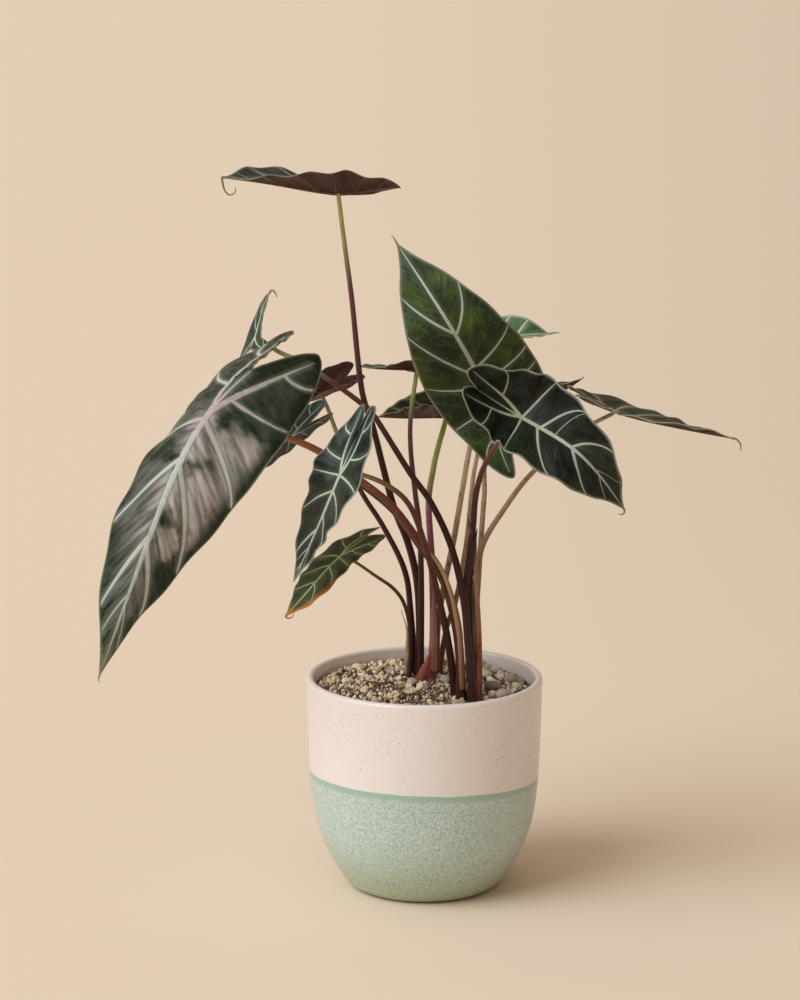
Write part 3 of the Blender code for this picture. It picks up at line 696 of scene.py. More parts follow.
# Leaf blades. "line" runs through the ends of the lobes, the joint with the stalk, the middle and the tip,
# and "faces" is the way the upper face looks at the joint, the tip and the lobes, both as packed. The
# (right, left) pairs are the width, its swelling towards the tip, the fold and the extra curl at the margin
# in degrees, and the lift and spread of the lobe. "veins" and "minors" are the (root, end) places of the
# side veins, "branches" leave the lobe's rib, "dry" is where the tip dries and how much, "dryHalf" is the
# side that dries along its margin, "hook" is the drip tip, and "ripple" the height and number of waves.
usualLeaf = {
    "width": (1, 1), "belly": (0, 0), "curl": (0, 0), "lift": (0, 0), "spread": (0, 0), "sinus": 0.3,
    "ripple": (0.8, 4), "wrinkle": 1.0, "veinWidth": 1.0, "dry": (0.97, 0.4),
    "veins": (((0.01, 0.14), (0.15, 0.45), (0.42, 0.70)), ((0.02, 0.13), (0.18, 0.42), (0.45, 0.68))),
    "minors": (((0.70, 0.87), (0.83, 0.94)), ((0.68, 0.86), (0.82, 0.93))),
    "branches": (((0.25, -0.17), (0.65, -0.37)), ((0.3, -0.19), (0.68, -0.39))),
}
leaves = {
    "top": {"line": ((-17, 9, 458), (-55, 3, 458), (-94, -7, 465), (-128, -23, 471)),
        "faces": ((0, 0.24, 0.97), (0, -0.32, 0.95), (0, 0, 1)), "width": (1.1, 1.0), "belly": (0.35, 0),
        "fold": (23, 31), "look": "grey",
        "hook": ((0.2, 0, -3), (1.5, 0, -8), (4.5, 0, -11), (8, 0, -9.5), (8.4, 0, -6)),
        "ripple": (1.3, 3)},
    "big_left": {"line": ((-75, -41, 375), (-134, -85, 332), (-171, -106, 257), (-204, -105, 168)),
        "faces": ((-0.6, -0.77, 0.23), (0.52, -0.82, 0.22), (-0.2, -0.83, 0.51)), "veinWidth": 1.8,
        "dry": (0.86, 0.75), "width": (0.78, 0.88), "belly": (0.03, -0.08), "fold": (-23, -27),
        "curl": (-27, -10), "lift": (-4, -2), "spread": (-5, -6), "sinus": 0.24, "look": "silver",
        "ripple": (1.2, 4),
        "veins": (((0.03, 0.16), (0.2, 0.51), (0.49, 0.78)), ((0.03, 0.3), (0.22, 0.6), (0.53, 0.78))),
        "branches": (((0.35, -0.22), (0.75, -0.42)), ((0.22, -0.18), (0.72, -0.41))),
        "minors": (((0.7, 0.86),), ((0.74, 0.9),)), "wrinkle": 3.2,
        "hook": ((-0.2, 0, -1.2), (0.0, 0, -2.5), (0.5, 0, -3.6))},
    "behind_left": {"line": ((-115, 14, 350), (-110, 26, 362), (-105, 23, 380), (-100, 9, 393)),
        "faces": ((-0.72, -0.6, 0.35), (-0.91, -0.34, 0.24), (-0.73, -0.66, 0.17)), "width": (1.05, 0.95),
        "belly": (-0.06, -0.09), "fold": (-4, -6), "curl": (60, -12), "lift": (-3, 2), "spread": (7, 1),
        "look": "dark", "ripple": (0.2, 3), "veins": ((), ((0.1, 0.36), (0.4, 0.66))), "minors": ((), ()),
        "branches": ((), ()), "hook": ((1, 0, 1.5), (3, 0, 1), (5, 0, -3))},
    "back_left": {"line": ((-43, 43, 336), (-69, 44, 322), (-93, 31, 309), (-119, 26, 293)),
        "faces": ((-0.16, 0.53, 0.83), (-0.19, 0.59, 0.79), (-0.19, 0.72, 0.67)), "fold": (12, 12),
        "sinus": 0.34, "look": "dark"},
    "small_left": {"line": ((-60, -20, 322), (-86, -22, 304), (-110, -26, 286), (-136, -30, 269)),
        "faces": ((-0.31, -0.46, 0.83),), "fold": (8, 20), "sinus": 0.25, "look": "dark"},
    "middle_hanging": {"line": ((-36, -72, 332), (-53, -90, 294), (-67, -81, 259), (-83, -76, 222)),
        "faces": ((-0.25, -0.76, 0.6), (-0.4, -0.72, 0.58), (-0.5, -0.78, 0.4)), "width": (0.86, 0.95),
        "belly": (0.25, -0.08), "fold": (2, 23), "curl": (-12, 15), "lift": (4, 2), "spread": (-7, -3),
        "look": "dark", "ripple": (1.1, 4), "veinWidth": 1.25,
        "veins": (((0.01, 0.1), (0.15, 0.49), (0.53, 0.8)), ((0.01, 0.05), (0.16, 0.3), (0.39, 0.6)))},
    "low_left": {"line": ((-29, -27, 246), (-54, -34, 229), (-72, -51, 213), (-89, -53, 194)),
        "faces": ((-0.34, -0.66, 0.67), (-0.1, -0.85, 0.52), (-0.13, -0.51, 0.85)), "width": (0.94, 0.97),
        "belly": (0.13, 0.11), "fold": (-6, 18), "curl": (-18, 8), "lift": (-3, -2), "spread": (-2, 2),
        "sinus": 0.35, "look": "olive", "ripple": (1.0, 4), "veinWidth": 1.15, "dry": (0.8, 1.0),
        "dryHalf": -1, "hook": ((1.5, 0, -1.2), (4, 0, -0.6), (5.5, 0, 1.8))},
    "upright": {"line": ((65, -29, 284), (38, -24, 337), (13, -43, 384), (-18, -21, 429)),
        "faces": ((0, -1, 0.18), (-0.16, -1, 0.1), (0.16, -1, 0.28)), "width": (1.06, 0.94),
        "belly": (-0.05, 0.38), "fold": (9, 6), "lift": (0, -2), "spread": (0, -2), "sinus": 0.26,
        "look": "green", "ripple": (1.2, 4),
        "veins": (((0.02, 0.14), (0.13, 0.31), (0.38, 0.64)), ((0.0, 0.19), (0.07, 0.53), (0.39, 0.74))),
        "branches": (((0.12, 0.02), (0.55, -0.3)), ((0.3, -0.14), (0.62, -0.38))), "minors": ((), ()),
        "dry": (0.95, 0.5), "hook": ((-1, 0, 1.8), (-2.2, 0, 3.8), (-3.6, 0, 5))},
    "front_right": {"line": ((22, -79, 352), (60, -70, 326), (95, -97, 308), (124, -82, 270)),
        "faces": ((0.33, -0.83, 0.45), (-0.17, -1, 0.09), (0.08, -1, 0.3)), "width": (1.03, 1.07),
        "belly": (0.24, 0.04), "fold": (13, 30), "curl": (15, 23), "lift": (4, -5), "spread": (-4, -4),
        "sinus": 0.38, "look": "black", "ripple": (1.6, 4), "veinWidth": 1.15,
        "veins": (((0.0, 0.13), (0.13, 0.46), (0.43, 0.73)), ((0.0, 0.14), (0.15, 0.41), (0.42, 0.63))),
        "minors": (((0.7, 0.87),), ((0.27, 0.42), (0.66, 0.82))),
        "branches": (((0.55, -0.29),), ((0.45, -0.32),)), "dry": (0.97, 0.6),
        "hook": ((0.2, 0, -1.8), (-1, 0, -3.2), (-3.6, 0, -3))},
    "small_back": {"line": ((12, 54, 358), (36, 50, 356), (62, 46, 359), (83, 50, 360)),
        "faces": ((0, 0.2, 1), (0, -0.6, 0.8)), "width": (1.0, 1.2), "belly": (0, 0.5), "fold": (25, 48),
        "sinus": 0.25, "look": "young", "veinWidth": 1.5, "hook": ((3, 0, 0.6), (6, 0, 0.4))},
    "back_right": {"line": ((36, 62, 306), (62, 58, 313), (88, 55, 320), (105, 44, 332)),
        "faces": ((0, 0, 1),), "fold": (35, 34), "look": "dark"},
    "right_edge": {"line": ((95, 2, 331), (123, 16, 315), (159, 0, 308), (200, -4, 300)),
        "faces": ((0.3, -0.15, 0.9), (-0.3, 0.2, 0.9), (0.14, -0.07, 1)), "width": (1.05, 0.97),
        "belly": (0.26, 0.09), "fold": (18, 8), "curl": (-9, -13), "lift": (-5, 0), "spread": (-4, -7),
        "look": "brown", "hook": ((2, 0, -1), (4, 0, -4), (4, 0, -8))},
    "edge_back": {"line": ((14, 46, 333), (-5, 39, 338), (-27, 38, 339), (-44, 28, 342)),
        "faces": ((0, 0.38, 0.93), (0, -0.4, 0.91), (0, 0.1, 1)), "fold": (3, 21), "look": "grey"},
    "folded_back": {"line": ((38, 86, 295), (15, 74, 300), (-9, 56, 303), (-32, 36, 307)),
        "faces": ((0, -0.12, 1), (0, 0.4, 0.9)), "width": (1.15, 1.0), "belly": (0.1, 0.3),
        "fold": (54, 36), "look": "brown", "ripple": (1.4, 5)},
}

blade = {
    "thickness": 0.55,
    "cell": 1.5,                # size of the mesh's cells
    "lobeInner": 0.16,
    "creaseRound": 2.0,         # the midrib's valley is rounded by this much
    "midribWidth": 1.75,        # half widths of the veins on a blade 110 long
    "ribWidth": 1.4,
    "sideWidth": 1.1,
    "minorWidth": 0.42,
    "rise": 0.16,               # how far the veins stand up on the upper face
    "underRise": 1.0,           # and below, as a share of their half width
    "margin": 0.38,             # radius of the thickened margin
    "puff": 1.7,                # height of the quilting between the veins
    "puffWidth": 6.0,
    "wrinkle": 0.17,
    "wrinkles": ((0.43, 0.7), (0.71, -1.1), (1.0, 0.4), (1.37, 1.3), (0.23, -0.5)),     # pace and drift
    "secondSpacing": 7.0,       # between the fine side veins
    "lobeRib": ((0, 0), (-0.22, 0.085), (-0.47, 0.142)),
    # section of a vein: aside and rise, and the place in the sheet that it starts from, 1 at the skin
    "section": ((-1.0, 0.0, 0.6), (-0.6, 0.62, 1.0), (0.0, 1.0, 1.0), (0.6, 0.62, 1.0), (1.0, 0.0, 0.6),
                (0.6, 0.0, 0.1), (0.0, 0.0, 0.1), (-0.6, 0.0, 0.1)),
    "marginSides": 6,
    "hookSides": 8,
    "hookRadii": (0.85, 0.22),
    # half of the flat outline in blade lengths, from the lobe to the tip: along, across, and the root on the
    # midrib of the side vein that would end there, in shares of the sinus where it is behind the joint
    "outline": ((-0.500, 0.125, -0.45), (-0.470, 0.192, -0.26), (-0.370, 0.245, -0.08),
                (-0.200, 0.285, 0.020), (-0.010, 0.305, 0.055), (0.180, 0.295, 0.110),
                (0.360, 0.260, 0.200), (0.520, 0.212, 0.320), (0.660, 0.158, 0.460),
                (0.780, 0.103, 0.610), (0.875, 0.052, 0.750), (0.940, 0.022, 0.880), (1.0, 0.0, 1.0)),
}

# finishes of the blades: the field between the veins, its lighter patches, how strong the painted sheen is,
# the veins and their heart near the joint, the margin, how strong the fine veins are, the underside and its
# ribs, and dried parts
bladeLooks = {
    "dark": {"field": (0.005, 0.008, 0.0045), "patch": (0.014, 0.028, 0.012), "silver": 0.09,
        "halo": (0.045, 0.065, 0.048), "vein": (0.48, 0.52, 0.46), "heart": (0.44, 0.49, 0.36),
        "margin": (0.28, 0.29, 0.24), "fine": 0.1, "under": (0.075, 0.022, 0.02),
        "underVein": (0.12, 0.045, 0.035), "dry": (0.2, 0.1, 0.04), "roughness": 0.36},
    "black": {"field": (0.003, 0.0035, 0.002), "patch": (0.009, 0.018, 0.007), "silver": 0.04,
        "halo": (0.018, 0.026, 0.018), "vein": (0.34, 0.36, 0.3), "heart": (0.4, 0.42, 0.27),
        "margin": (0.24, 0.25, 0.2), "fine": 0.12, "under": (0.075, 0.022, 0.02),
        "underVein": (0.12, 0.045, 0.035), "dry": (0.24, 0.15, 0.05), "roughness": 0.36},
    "silver": {"field": (0.007, 0.018, 0.007), "patch": (0.018, 0.04, 0.019), "silver": 0.95,
        "halo": (0.15, 0.17, 0.15), "vein": (0.46, 0.5, 0.44), "heart": (0.46, 0.33, 0.35),
        "margin": (0.17, 0.17, 0.1), "fine": 0.12, "under": (0.085, 0.028, 0.024),
        "underVein": (0.14, 0.06, 0.045), "dry": (0.28, 0.31, 0.17), "roughness": 0.32},
    "green": {"field": (0.016, 0.028, 0.01), "patch": (0.044, 0.076, 0.01), "silver": 0.0,
        "halo": (0.05, 0.075, 0.042), "vein": (0.4, 0.46, 0.36), "heart": (0.38, 0.42, 0.3),
        "margin": (0.2, 0.19, 0.14), "fine": 0.24, "under": (0.08, 0.05, 0.03),
        "underVein": (0.15, 0.09, 0.05), "dry": (0.2, 0.15, 0.04), "roughness": 0.44},
    "olive": {"field": (0.022, 0.036, 0.01), "patch": (0.065, 0.075, 0.014), "silver": 0.15,
        "halo": (0.07, 0.1, 0.04), "vein": (0.5, 0.56, 0.38), "heart": (0.42, 0.46, 0.24),
        "margin": (0.3, 0.16, 0.05), "fine": 0.15, "under": (0.3, 0.12, 0.03),
        "underVein": (0.35, 0.17, 0.06), "dry": (0.6, 0.22, 0.025), "roughness": 0.36},
    "young": {"field": (0.045, 0.1, 0.035), "patch": (0.07, 0.14, 0.05), "silver": 0.0,
        "halo": (0.15, 0.24, 0.12), "vein": (0.62, 0.7, 0.52), "heart": (0.52, 0.6, 0.38),
        "margin": (0.5, 0.58, 0.42), "fine": 0.3, "under": (0.3, 0.42, 0.22), "underVein": (0.4, 0.5, 0.3),
        "dry": (0.2, 0.18, 0.06), "roughness": 0.42},
    "grey": {"field": (0.02, 0.028, 0.02), "patch": (0.04, 0.05, 0.034), "silver": 0.25,
        "halo": (0.08, 0.095, 0.07), "vein": (0.4, 0.43, 0.34), "heart": (0.38, 0.4, 0.28),
        "margin": (0.24, 0.22, 0.17), "fine": 0.15, "under": (0.065, 0.026, 0.02),
        "underVein": (0.11, 0.05, 0.035), "dry": (0.2, 0.12, 0.06), "roughness": 0.4},
    "brown": {"field": (0.012, 0.011, 0.007), "patch": (0.035, 0.042, 0.012), "silver": 0.0,
        "halo": (0.07, 0.08, 0.05), "vein": (0.36, 0.38, 0.28), "heart": (0.36, 0.36, 0.22),
        "margin": (0.3, 0.33, 0.18), "fine": 0.15, "under": (0.05, 0.012, 0.009),
        "underVein": (0.1, 0.04, 0.03), "dry": (0.16, 0.08, 0.04), "roughness": 0.42},
}


def bladeMaterials(name, look):
    # upper face, underside, upper veins and lower ribs of one look
    upper, tree = newMaterial(name + "Blade", look["field"], look["roughness"], 0.2)
    flat = attributeOf(tree, "flat", "Vector")
    along, aside = partsOf(tree, flat)[:2]
    second = attributeOf(tree, "secondary")
    margin = attributeOf(tree, "edge")
    patches = rangeOf(tree, noiseOf(tree, flat, 0.055, 3.0, 0.6, 0.6), 0.42, 0.66)
    body = mixColours(tree, patches, look["field"], look["patch"])
    # painted reflection: silvery streaks of sheen that run with the side veins, away from the margin
    streak = addNode(tree, "ShaderNodeCombineXYZ", {0: second, 1: times(tree, margin, 0.03)})
    pleats = noiseOf(tree, streak, 0.75, 4.0, 0.6, 0.25)
    silver = times(tree, timesPlus(tree, rangeOf(tree, pleats, 0.38, 0.60), 0.65, 0.35),
                   rangeOf(tree, noiseOf(tree, flat, 0.035, 3.0), 0.34, 0.50),
                   rangeOf(tree, along, -14.0, 12.0, 0.1, 1.0), rangeOf(tree, aside, -4.0, 16.0, 1.0, 0.25),
                   rangeOf(tree, along, 85.0, 125.0, 1.0, 0.4),
                   rangeOf(tree, margin, 2.0, 13.0, 0.0, look["silver"]))
    body = mixColours(tree, silver, body, (0.47, 0.43, 0.415))
    halo = rangeOf(tree, attributeOf(tree, "veinDistance"), 0.8, 4.2, 0.8, 0.0)
    body = mixColours(tree, halo, body, look["halo"])
    # fine side veins run with the main ones, and a net of finer ones joins them
    wander = timesPlus(tree, noiseOf(tree, flat, 0.10), 1.6, second)
    lines = rangeOf(tree, mathOf(tree, "PINGPONG", wander, 0.5), 0.02, 0.085, 1.0, 0.0)
    net = rangeOf(tree, cellsOf(tree, flat, 0.30, feature="DISTANCE_TO_EDGE"), 0.02, 0.09, 0.45, 0.0)
    fine = times(tree, mathOf(tree, "MAXIMUM", lines, net),
                 rangeOf(tree, noiseOf(tree, flat, 0.09), 0.38, 0.62))
    paleFine = tuple(0.45 * v + 0.55 * f for v, f in zip(look["vein"], look["patch"]))
    body = mixColours(tree, times(tree, fine, look["fine"]), body, paleFine)
    body = mixColours(tree, rangeOf(tree, margin, 0.3, 1.4, 0.6, 0.0), body, look["margin"])
    body = mixColours(tree, attributeOf(tree, "dry"), body, look["dry"])
    gloss = rangeOf(tree, noiseOf(tree, flat, 0.12, 3.0), 0.3, 0.7, look["roughness"] - 0.05,
                    look["roughness"] + 0.08)
    height = timesPlus(tree, pleats, 4.0, timesPlus(tree, fine, -0.5, noiseOf(tree, flat, 0.9, 4.0, 0.6)))
    finishMaterial(upper, body, bumpOf(tree, height, 0.00018, 0.9), gloss)

    under, tree = newMaterial(name + "Underside", look["under"], 0.46, 0.3)
    flat = attributeOf(tree, "flat", "Vector")
    darker = tuple(0.45 * c for c in look["under"])
    body = mixColours(tree, noiseOf(tree, flat, 0.08, 4.0, 0.6), darker, look["under"])
    lines = mathOf(tree, "PINGPONG", attributeOf(tree, "secondary"), 0.5)
    net = cellsOf(tree, flat, 0.30, feature="DISTANCE_TO_EDGE")
    ridges = mathOf(tree, "MAXIMUM", rangeOf(tree, lines, 0.03, 0.10, 0.5, 0.0),
                    rangeOf(tree, net, 0.02, 0.12, 0.5, 0.0))
    body = mixColours(tree, ridges, body, look["underVein"])
    body = mixColours(tree, attributeOf(tree, "dry"), body, look["dry"])
    height = timesPlus(tree, ridges, 1.2, noiseOf(tree, flat, 0.8, 3.0))
    finishMaterial(under, body, bumpOf(tree, height, 0.0003))

    made = [upper, under]
    for part, colour, heart in (("Vein", "vein", "heart"), ("Rib", "underVein", "underVein")):
        colour, heart = look[colour], look[heart]
        material, tree = newMaterial(name + part, colour, 0.42, 0.35)
        flat = attributeOf(tree, "flat", "Vector")
        near = rangeOf(tree, attributeOf(tree, "fromJoint"), 6.0, 44.0, 0.9, 0.0)
        uneven = rangeOf(tree, noiseOf(tree, flat, 0.25, 3.0), 0.35, 0.7, 0.0, 0.3)
        body = mixColours(tree, near, colour, heart)
        body = mixColours(tree, uneven, body, tuple(0.62 * c for c in colour))
        rim = rangeOf(tree, attributeOf(tree, "edge"), 0.6, 2.0, 0.9, 0.0)
        body = mixColours(tree, rim, body, look["margin"])
        body = mixColours(tree, attributeOf(tree, "dry"), body, look["dry"])
        made.append(finishMaterial(material, body, bumpOf(tree, noiseOf(tree, flat, 1.6), 0.0001)))
    return made


def bladeOutline(leaf):
    sinus = leaf["sinus"]
    # the first points follow the sinus, and so do the roots of the points round the lobe
    start = [(-sinus, 0.0, -sinus), (-sinus - 0.65 * (0.5 - sinus), 0.062, -0.68 * sinus)]
    lobe = [(along, across, root * sinus if root < 0 else root) for along, across, root in blade["outline"]]
    return evenPath(start + lobe, blade["cell"] / leaf["length"])


def naturalSpline(knots, values):
    # function giving the natural cubic spline through the values at the knots
    knots = np.asarray(knots, float)
    values = np.asarray(values, float)
    count = len(knots)
    steps = np.diff(knots)
    matrix = np.eye(count)
    right = np.zeros((count, values.shape[1]))
    for i in range(1, count - 1):
        matrix[i, i - 1:i + 2] = steps[i - 1], 2 * (steps[i - 1] + steps[i]), steps[i]
        right[i] = 6 * ((values[i + 1] - values[i]) / steps[i] - (values[i] - values[i - 1]) / steps[i - 1])
    bend = np.linalg.solve(matrix, right)

    def at(x):
        i = np.clip(np.searchsorted(knots, x) - 1, 0, count - 2)
        a = (knots[i + 1] - x)[:, None]
        b = (x - knots[i])[:, None]
        h = steps[i][:, None]
        return ((bend[i] * a ** 3 + bend[i + 1] * b ** 3) / (6 * h)
                + (values[i] / h - bend[i] * h / 6) * a + (values[i + 1] / h - bend[i + 1] * h / 6) * b)
    return at


def halfValue(leaf, key, across):
    return np.where(across >= 0, float(leaf[key][0]), float(leaf[key][1]))


def bladePoints(leaf, along, across):
    # places on the plain blade, with across negative on its left half
    centre = leaf["centre"](along)
    step = 0.001
    forward = unit(leaf["centre"](along + step) - leaf["centre"](along - step))
    faces = leaf["faces"] + leaf["faces"][:1] * 2
    face, faceTip, faceLobes = (unit(np.array(way, float)) for way in faces[:3])
    toTip = np.clip(along, 0, 1)[:, None]
    toLobes = np.clip(-2 * along, 0, 1)[:, None]
    normal = face * (1 - toTip - toLobes) + faceTip * toTip + faceLobes * toLobes
    normal = unit(normal - (normal * forward).sum(-1, keepdims=True) * forward)
    side = np.cross(forward, normal)
    away = np.abs(across)
    width = halfValue(leaf, "width", across) * (1 + halfValue(leaf, "belly", across) * along)
    reach = away * width * leaf["length"]
    rise = np.radians(halfValue(leaf, "fold", across) + halfValue(leaf, "curl", across) * away / 0.6)
    rounding = blade["creaseRound"]
    climb = np.sin(rise) * (np.sqrt(reach ** 2 + rounding ** 2) - rounding)
    inner = np.clip(away / blade["lobeInner"], 0, 1)
    lobe = smoothStep(-2 * along) * inner * (1.5 - 0.5 * inner ** 2)
    out = np.sign(across) * (reach * np.cos(rise) + lobe * halfValue(leaf, "spread", across))
    climb = climb + lobe * halfValue(leaf, "lift", across)
    return centre + out[:, None] * side + climb[:, None] * normal


def bladeNormals(leaf, along, across):
    step = 0.004
    forward = bladePoints(leaf, along + step, across) - bladePoints(leaf, along - step, across)
    sideways = bladePoints(leaf, along, across + step) - bladePoints(leaf, along, across - step)
    return unit(np.cross(sideways, forward))


def flatPlaces(leaf, along, across):
    # the flat blade in millimetres
    return np.stack([along, across * halfValue(leaf, "width", across)], axis=-1) * leaf["length"]


def marginShare(leaf, along, across):
    # 0 at the midrib, 1 at the margin
    return np.abs(across) / np.interp(along, leaf["outerAlong"], leaf["outerAcross"])


def distanceTo(points, lines):
    # from each flat point to the nearest of the lines
    starts = np.concatenate([line[:-1] for line in lines])
    spans = np.concatenate([np.diff(line, axis=0) for line in lines])
    lengths = (spans ** 2).sum(1) + 1e-9
    nearest = np.empty(len(points))
    for low in range(0, len(points), 4000):
        part = points[low:low + 4000, None, :] - starts
        share = np.clip((part * spans).sum(2) / lengths, 0, 1)
        nearest[low:low + 4000] = np.sqrt(((part - share[..., None] * spans) ** 2).sum(2).min(1))
    return nearest


def secondaryPlace(leaf, along, across):
    # runs up by one from each fine side vein to the next
    away = np.abs(across)
    root = (along - 0.3 * away - 1.2 * away ** 2) / (1 + 2.3 * away)
    return root * leaf["length"] / blade["secondSpacing"] + np.where(across >= 0, 0.0, 0.37)


def bladeRelief(leaf, along, across):
    # height of the quilting, wrinkles and margin waves over the plain blade
    share = np.clip(marginShare(leaf, along, across), 0, 1)
    distance = distanceTo(flatPlaces(leaf, along, across), leaf["veinLines"])
    size = min(1.0, leaf["length"] / 120)
    puff = blade["puff"] * size * (1 - np.exp(-(distance / (blade["puffWidth"] * size)) ** 2))
    place = secondaryPlace(leaf, along, across)
    wrinkle = 0
    for number, (pace, drift) in enumerate(blade["wrinkles"]):
        phase = 2.1 * number + leaf["number"]
        wrinkle = wrinkle + np.sin(2 * math.pi * (pace * place + drift * share) + phase) / (1 + 0.4 * number)
    wrinkle = blade["wrinkle"] * leaf["wrinkle"] * wrinkle * (1 - np.exp(-(distance / 3.0) ** 2))
    height, waves = leaf["ripple"]
    ripple = height * share ** 2.5 * np.sin(2 * math.pi * waves * along + leaf["number"] * 1.7
                                            + np.where(across >= 0, 0.0, 2.0))
    ripple = ripple * smoothStep((1 - along) / 0.25) * np.clip(leaf["length"] / 90, 0.4, 1.0)
    return puff * (1 - share ** 5) + wrinkle * (1 - share ** 6) + ripple


def surfaceAt(leaf, along, across):
    normal = bladeNormals(leaf, along, across)
    return bladePoints(leaf, along, across) + bladeRelief(leaf, along, across)[:, None] * normal, normal


def bowed(start, control, end, count):
    part = np.linspace(0, 1, count)[:, None]
    start, control, end = (np.array(p, float) for p in (start, control, end))
    return start * (1 - part) ** 2 + control * 2 * part * (1 - part) + end * part ** 2


def veinPlan(leaf):
    # flat curves of the veins with their half widths at the start and end
    size = float(np.clip(leaf["length"] / 110, 0.55, 1.15))
    midrib, ribWidth, side, minor = (blade[key] * size * leaf["veinWidth"]
                                     for key in ("midribWidth", "ribWidth", "sideWidth", "minorWidth"))
    sinus = leaf["sinus"]
    plan = [(bowed((-0.02, 0), (0.5, 0), (0.985, 0), 60), midrib, 0.22 * size),
            (bowed((0.02, 0), (-0.5 * sinus, 0), (-0.97 * sinus, 0), 16), 0.5 * midrib, 0.25 * size)]

    def marginAt(place):
        return 0.985 * float(np.interp(place, leaf["outerAlong"], leaf["outerAcross"]))

    for half, sign in ((0, 1), (1, -1)):
        rib = bowed(*blade["lobeRib"], 26)
        curves = [(rib, ribWidth, 0.3 * size)]
        minors = leaf["minors"][half] if leaf["length"] >= 60 else ()
        for places, width in ((leaf["veins"][half], side), (minors, minor)):
            for root, end in places:
                bow = (root + 0.5 * (end - root), 0.8 * marginAt(end))
                curves.append((bowed((root, 0), bow, (end, marginAt(end)), 22), width, 0.4 * width))
        for place, end in leaf["branches"][half]:
            start = rib[int(place * (len(rib) - 1))]
            bow = (start[0] + 0.15 * (end - start[0]), start[1] + 0.75 * (marginAt(end) - start[1]))
            curves.append((bowed(start, bow, (end, marginAt(end)), 16), 0.8 * side, 0.4 * side))
        plan += [(curve * (1, sign), first, last) for curve, first, last in curves]
    return plan


def flatValues(leaf, along, across):
    # what the materials read at each point
    flat = flatPlaces(leaf, along, across)
    start, strength = leaf["dry"]
    dry = strength * smoothStep((along - start) / (1.001 - start))
    if "dryHalf" in leaf:
        burnt = smoothStep((marginShare(leaf, along, across) - 0.55) / 0.45) * smoothStep((along - 0.2) / 0.5)
        dry = np.where(across * leaf["dryHalf"] > 0, np.maximum(dry, 0.85 * burnt), dry)
    return {
        "flat": np.column_stack([flat, np.full(len(flat), 31.0 * leaf["number"])]),
        "veinDistance": distanceTo(flat, leaf["veinLines"]),
        "secondary": secondaryPlace(leaf, along, across),
        "edge": distanceTo(flat, leaf["edgeLines"]),
        "fromJoint": np.linalg.norm(flat, axis=1),
        "dry": dry,
    }


def sheetPart(leaf, outline):
    # the blade itself: an upper and a lower skin over the same grid, joined round the margin
    columns = max(5, int(0.3 * leaf["length"] / blade["cell"]))
    shares = np.arange(-columns, columns + 1) / columns
    inner = outline[1:-1]
    along = inner[:, 0:1] * np.abs(shares) + inner[:, 2:3] * (1 - np.abs(shares))
    across = inner[:, 1:2] * shares
    along = np.r_[outline[0, 0], along.ravel(), outline[-1, 0]]
    across = np.r_[0.0, across.ravel(), 0.0]
    middle, normal = surfaceAt(leaf, along, across)
    half = blade["thickness"] / 2
    rows, wide, count = len(inner), len(shares), len(along)
    last, end = count - 1, count - 1 - wide
    upper = gridFaces(rows, wide, 1)
    upper += [(0, 1 + c, 2 + c) for c in range(wide - 1)]
    upper += [(end + c, last, end + c + 1) for c in range(wide - 1)]
    lower = [tuple(corner + count for corner in face[::-1]) for face in upper]
    loop = [0, *range(wide, last, wide), last, *range(end, 0, -wide)]
    rim = [(here, there, there + count, here + count) for here, there in zip(loop, loop[1:] + loop[:1])]
    values = flatValues(leaf, along, across)
    return {"points": np.vstack([middle + half * normal, middle - half * normal]),
            "faces": upper + rim + lower,
            "material": [0] * (len(upper) + len(rim)) + [1] * len(lower),
            "values": {key: np.concatenate([value, value]) for key, value in values.items()}}


def tubePart(points, rings, material, values):
    faces = tubeFaces(rings, len(points) // rings)
    return {"points": points, "faces": faces, "material": [material] * len(faces), "values": values}


def veinPart(leaf, curve, first, last, under):
    # a vein: a low ridge laid into the skin, five points of its section over and three inside the sheet
    run = stretch(flatPlaces(leaf, curve[:, 0], curve[:, 1]))
    count = max(4, int(run[-1] / blade["cell"]))
    places = np.linspace(0, run[-1], count)
    curve = np.stack([np.interp(places, run, curve[:, k]) for k in (0, 1)], axis=1)
    forward = unit(np.gradient(curve * leaf["length"], axis=0))
    across = np.stack([-forward[:, 1], forward[:, 0]], axis=1) / leaf["length"]
    width = (last + (first - last) * (1 - np.linspace(0, 1, count) ** 1.7)) * (1.1 if under else 1.0)
    offsets, rises, sunk = np.array(blade["section"]).T
    ring = curve[:, None, :] + offsets[None, :, None] * width[:, None, None] * across[:, None, :]
    ring = ring.reshape(-1, 2)
    place, normal = surfaceAt(leaf, ring[:, 0], ring[:, 1])
    height = width * blade["underRise"] if under else blade["rise"] * (0.4 + 0.6 * width / width.max())
    height = (rises[None, :] * height[:, None] + sunk[None, :] * blade["thickness"] / 2).ravel()
    height = height * (-1 if under else 1)
    return tubePart(place + height[:, None] * normal, count, 3 if under else 2,
                    flatValues(leaf, ring[:, 0], ring[:, 1]))


def marginPart(leaf, outline, sign):
    # the thickened margin of one half, a bead along the edge
    sides = blade["marginSides"]
    along, across = outline[:, 0], sign * outline[:, 1]
    place, normal = surfaceAt(leaf, along, across)
    outward = unit(np.cross(unit(np.gradient(place, axis=0)), normal))
    radius = blade["margin"] * np.clip(leaf["length"] / 100, 0.7, 1.15)
    radius = radius * smoothStep((1.03 - along) / 0.12 + 0.25)
    return tubePart(tubePoints(place, radius, outward, normal, sides), len(along), 2,
                    flatValues(leaf, np.repeat(along, sides), np.repeat(across, sides)))


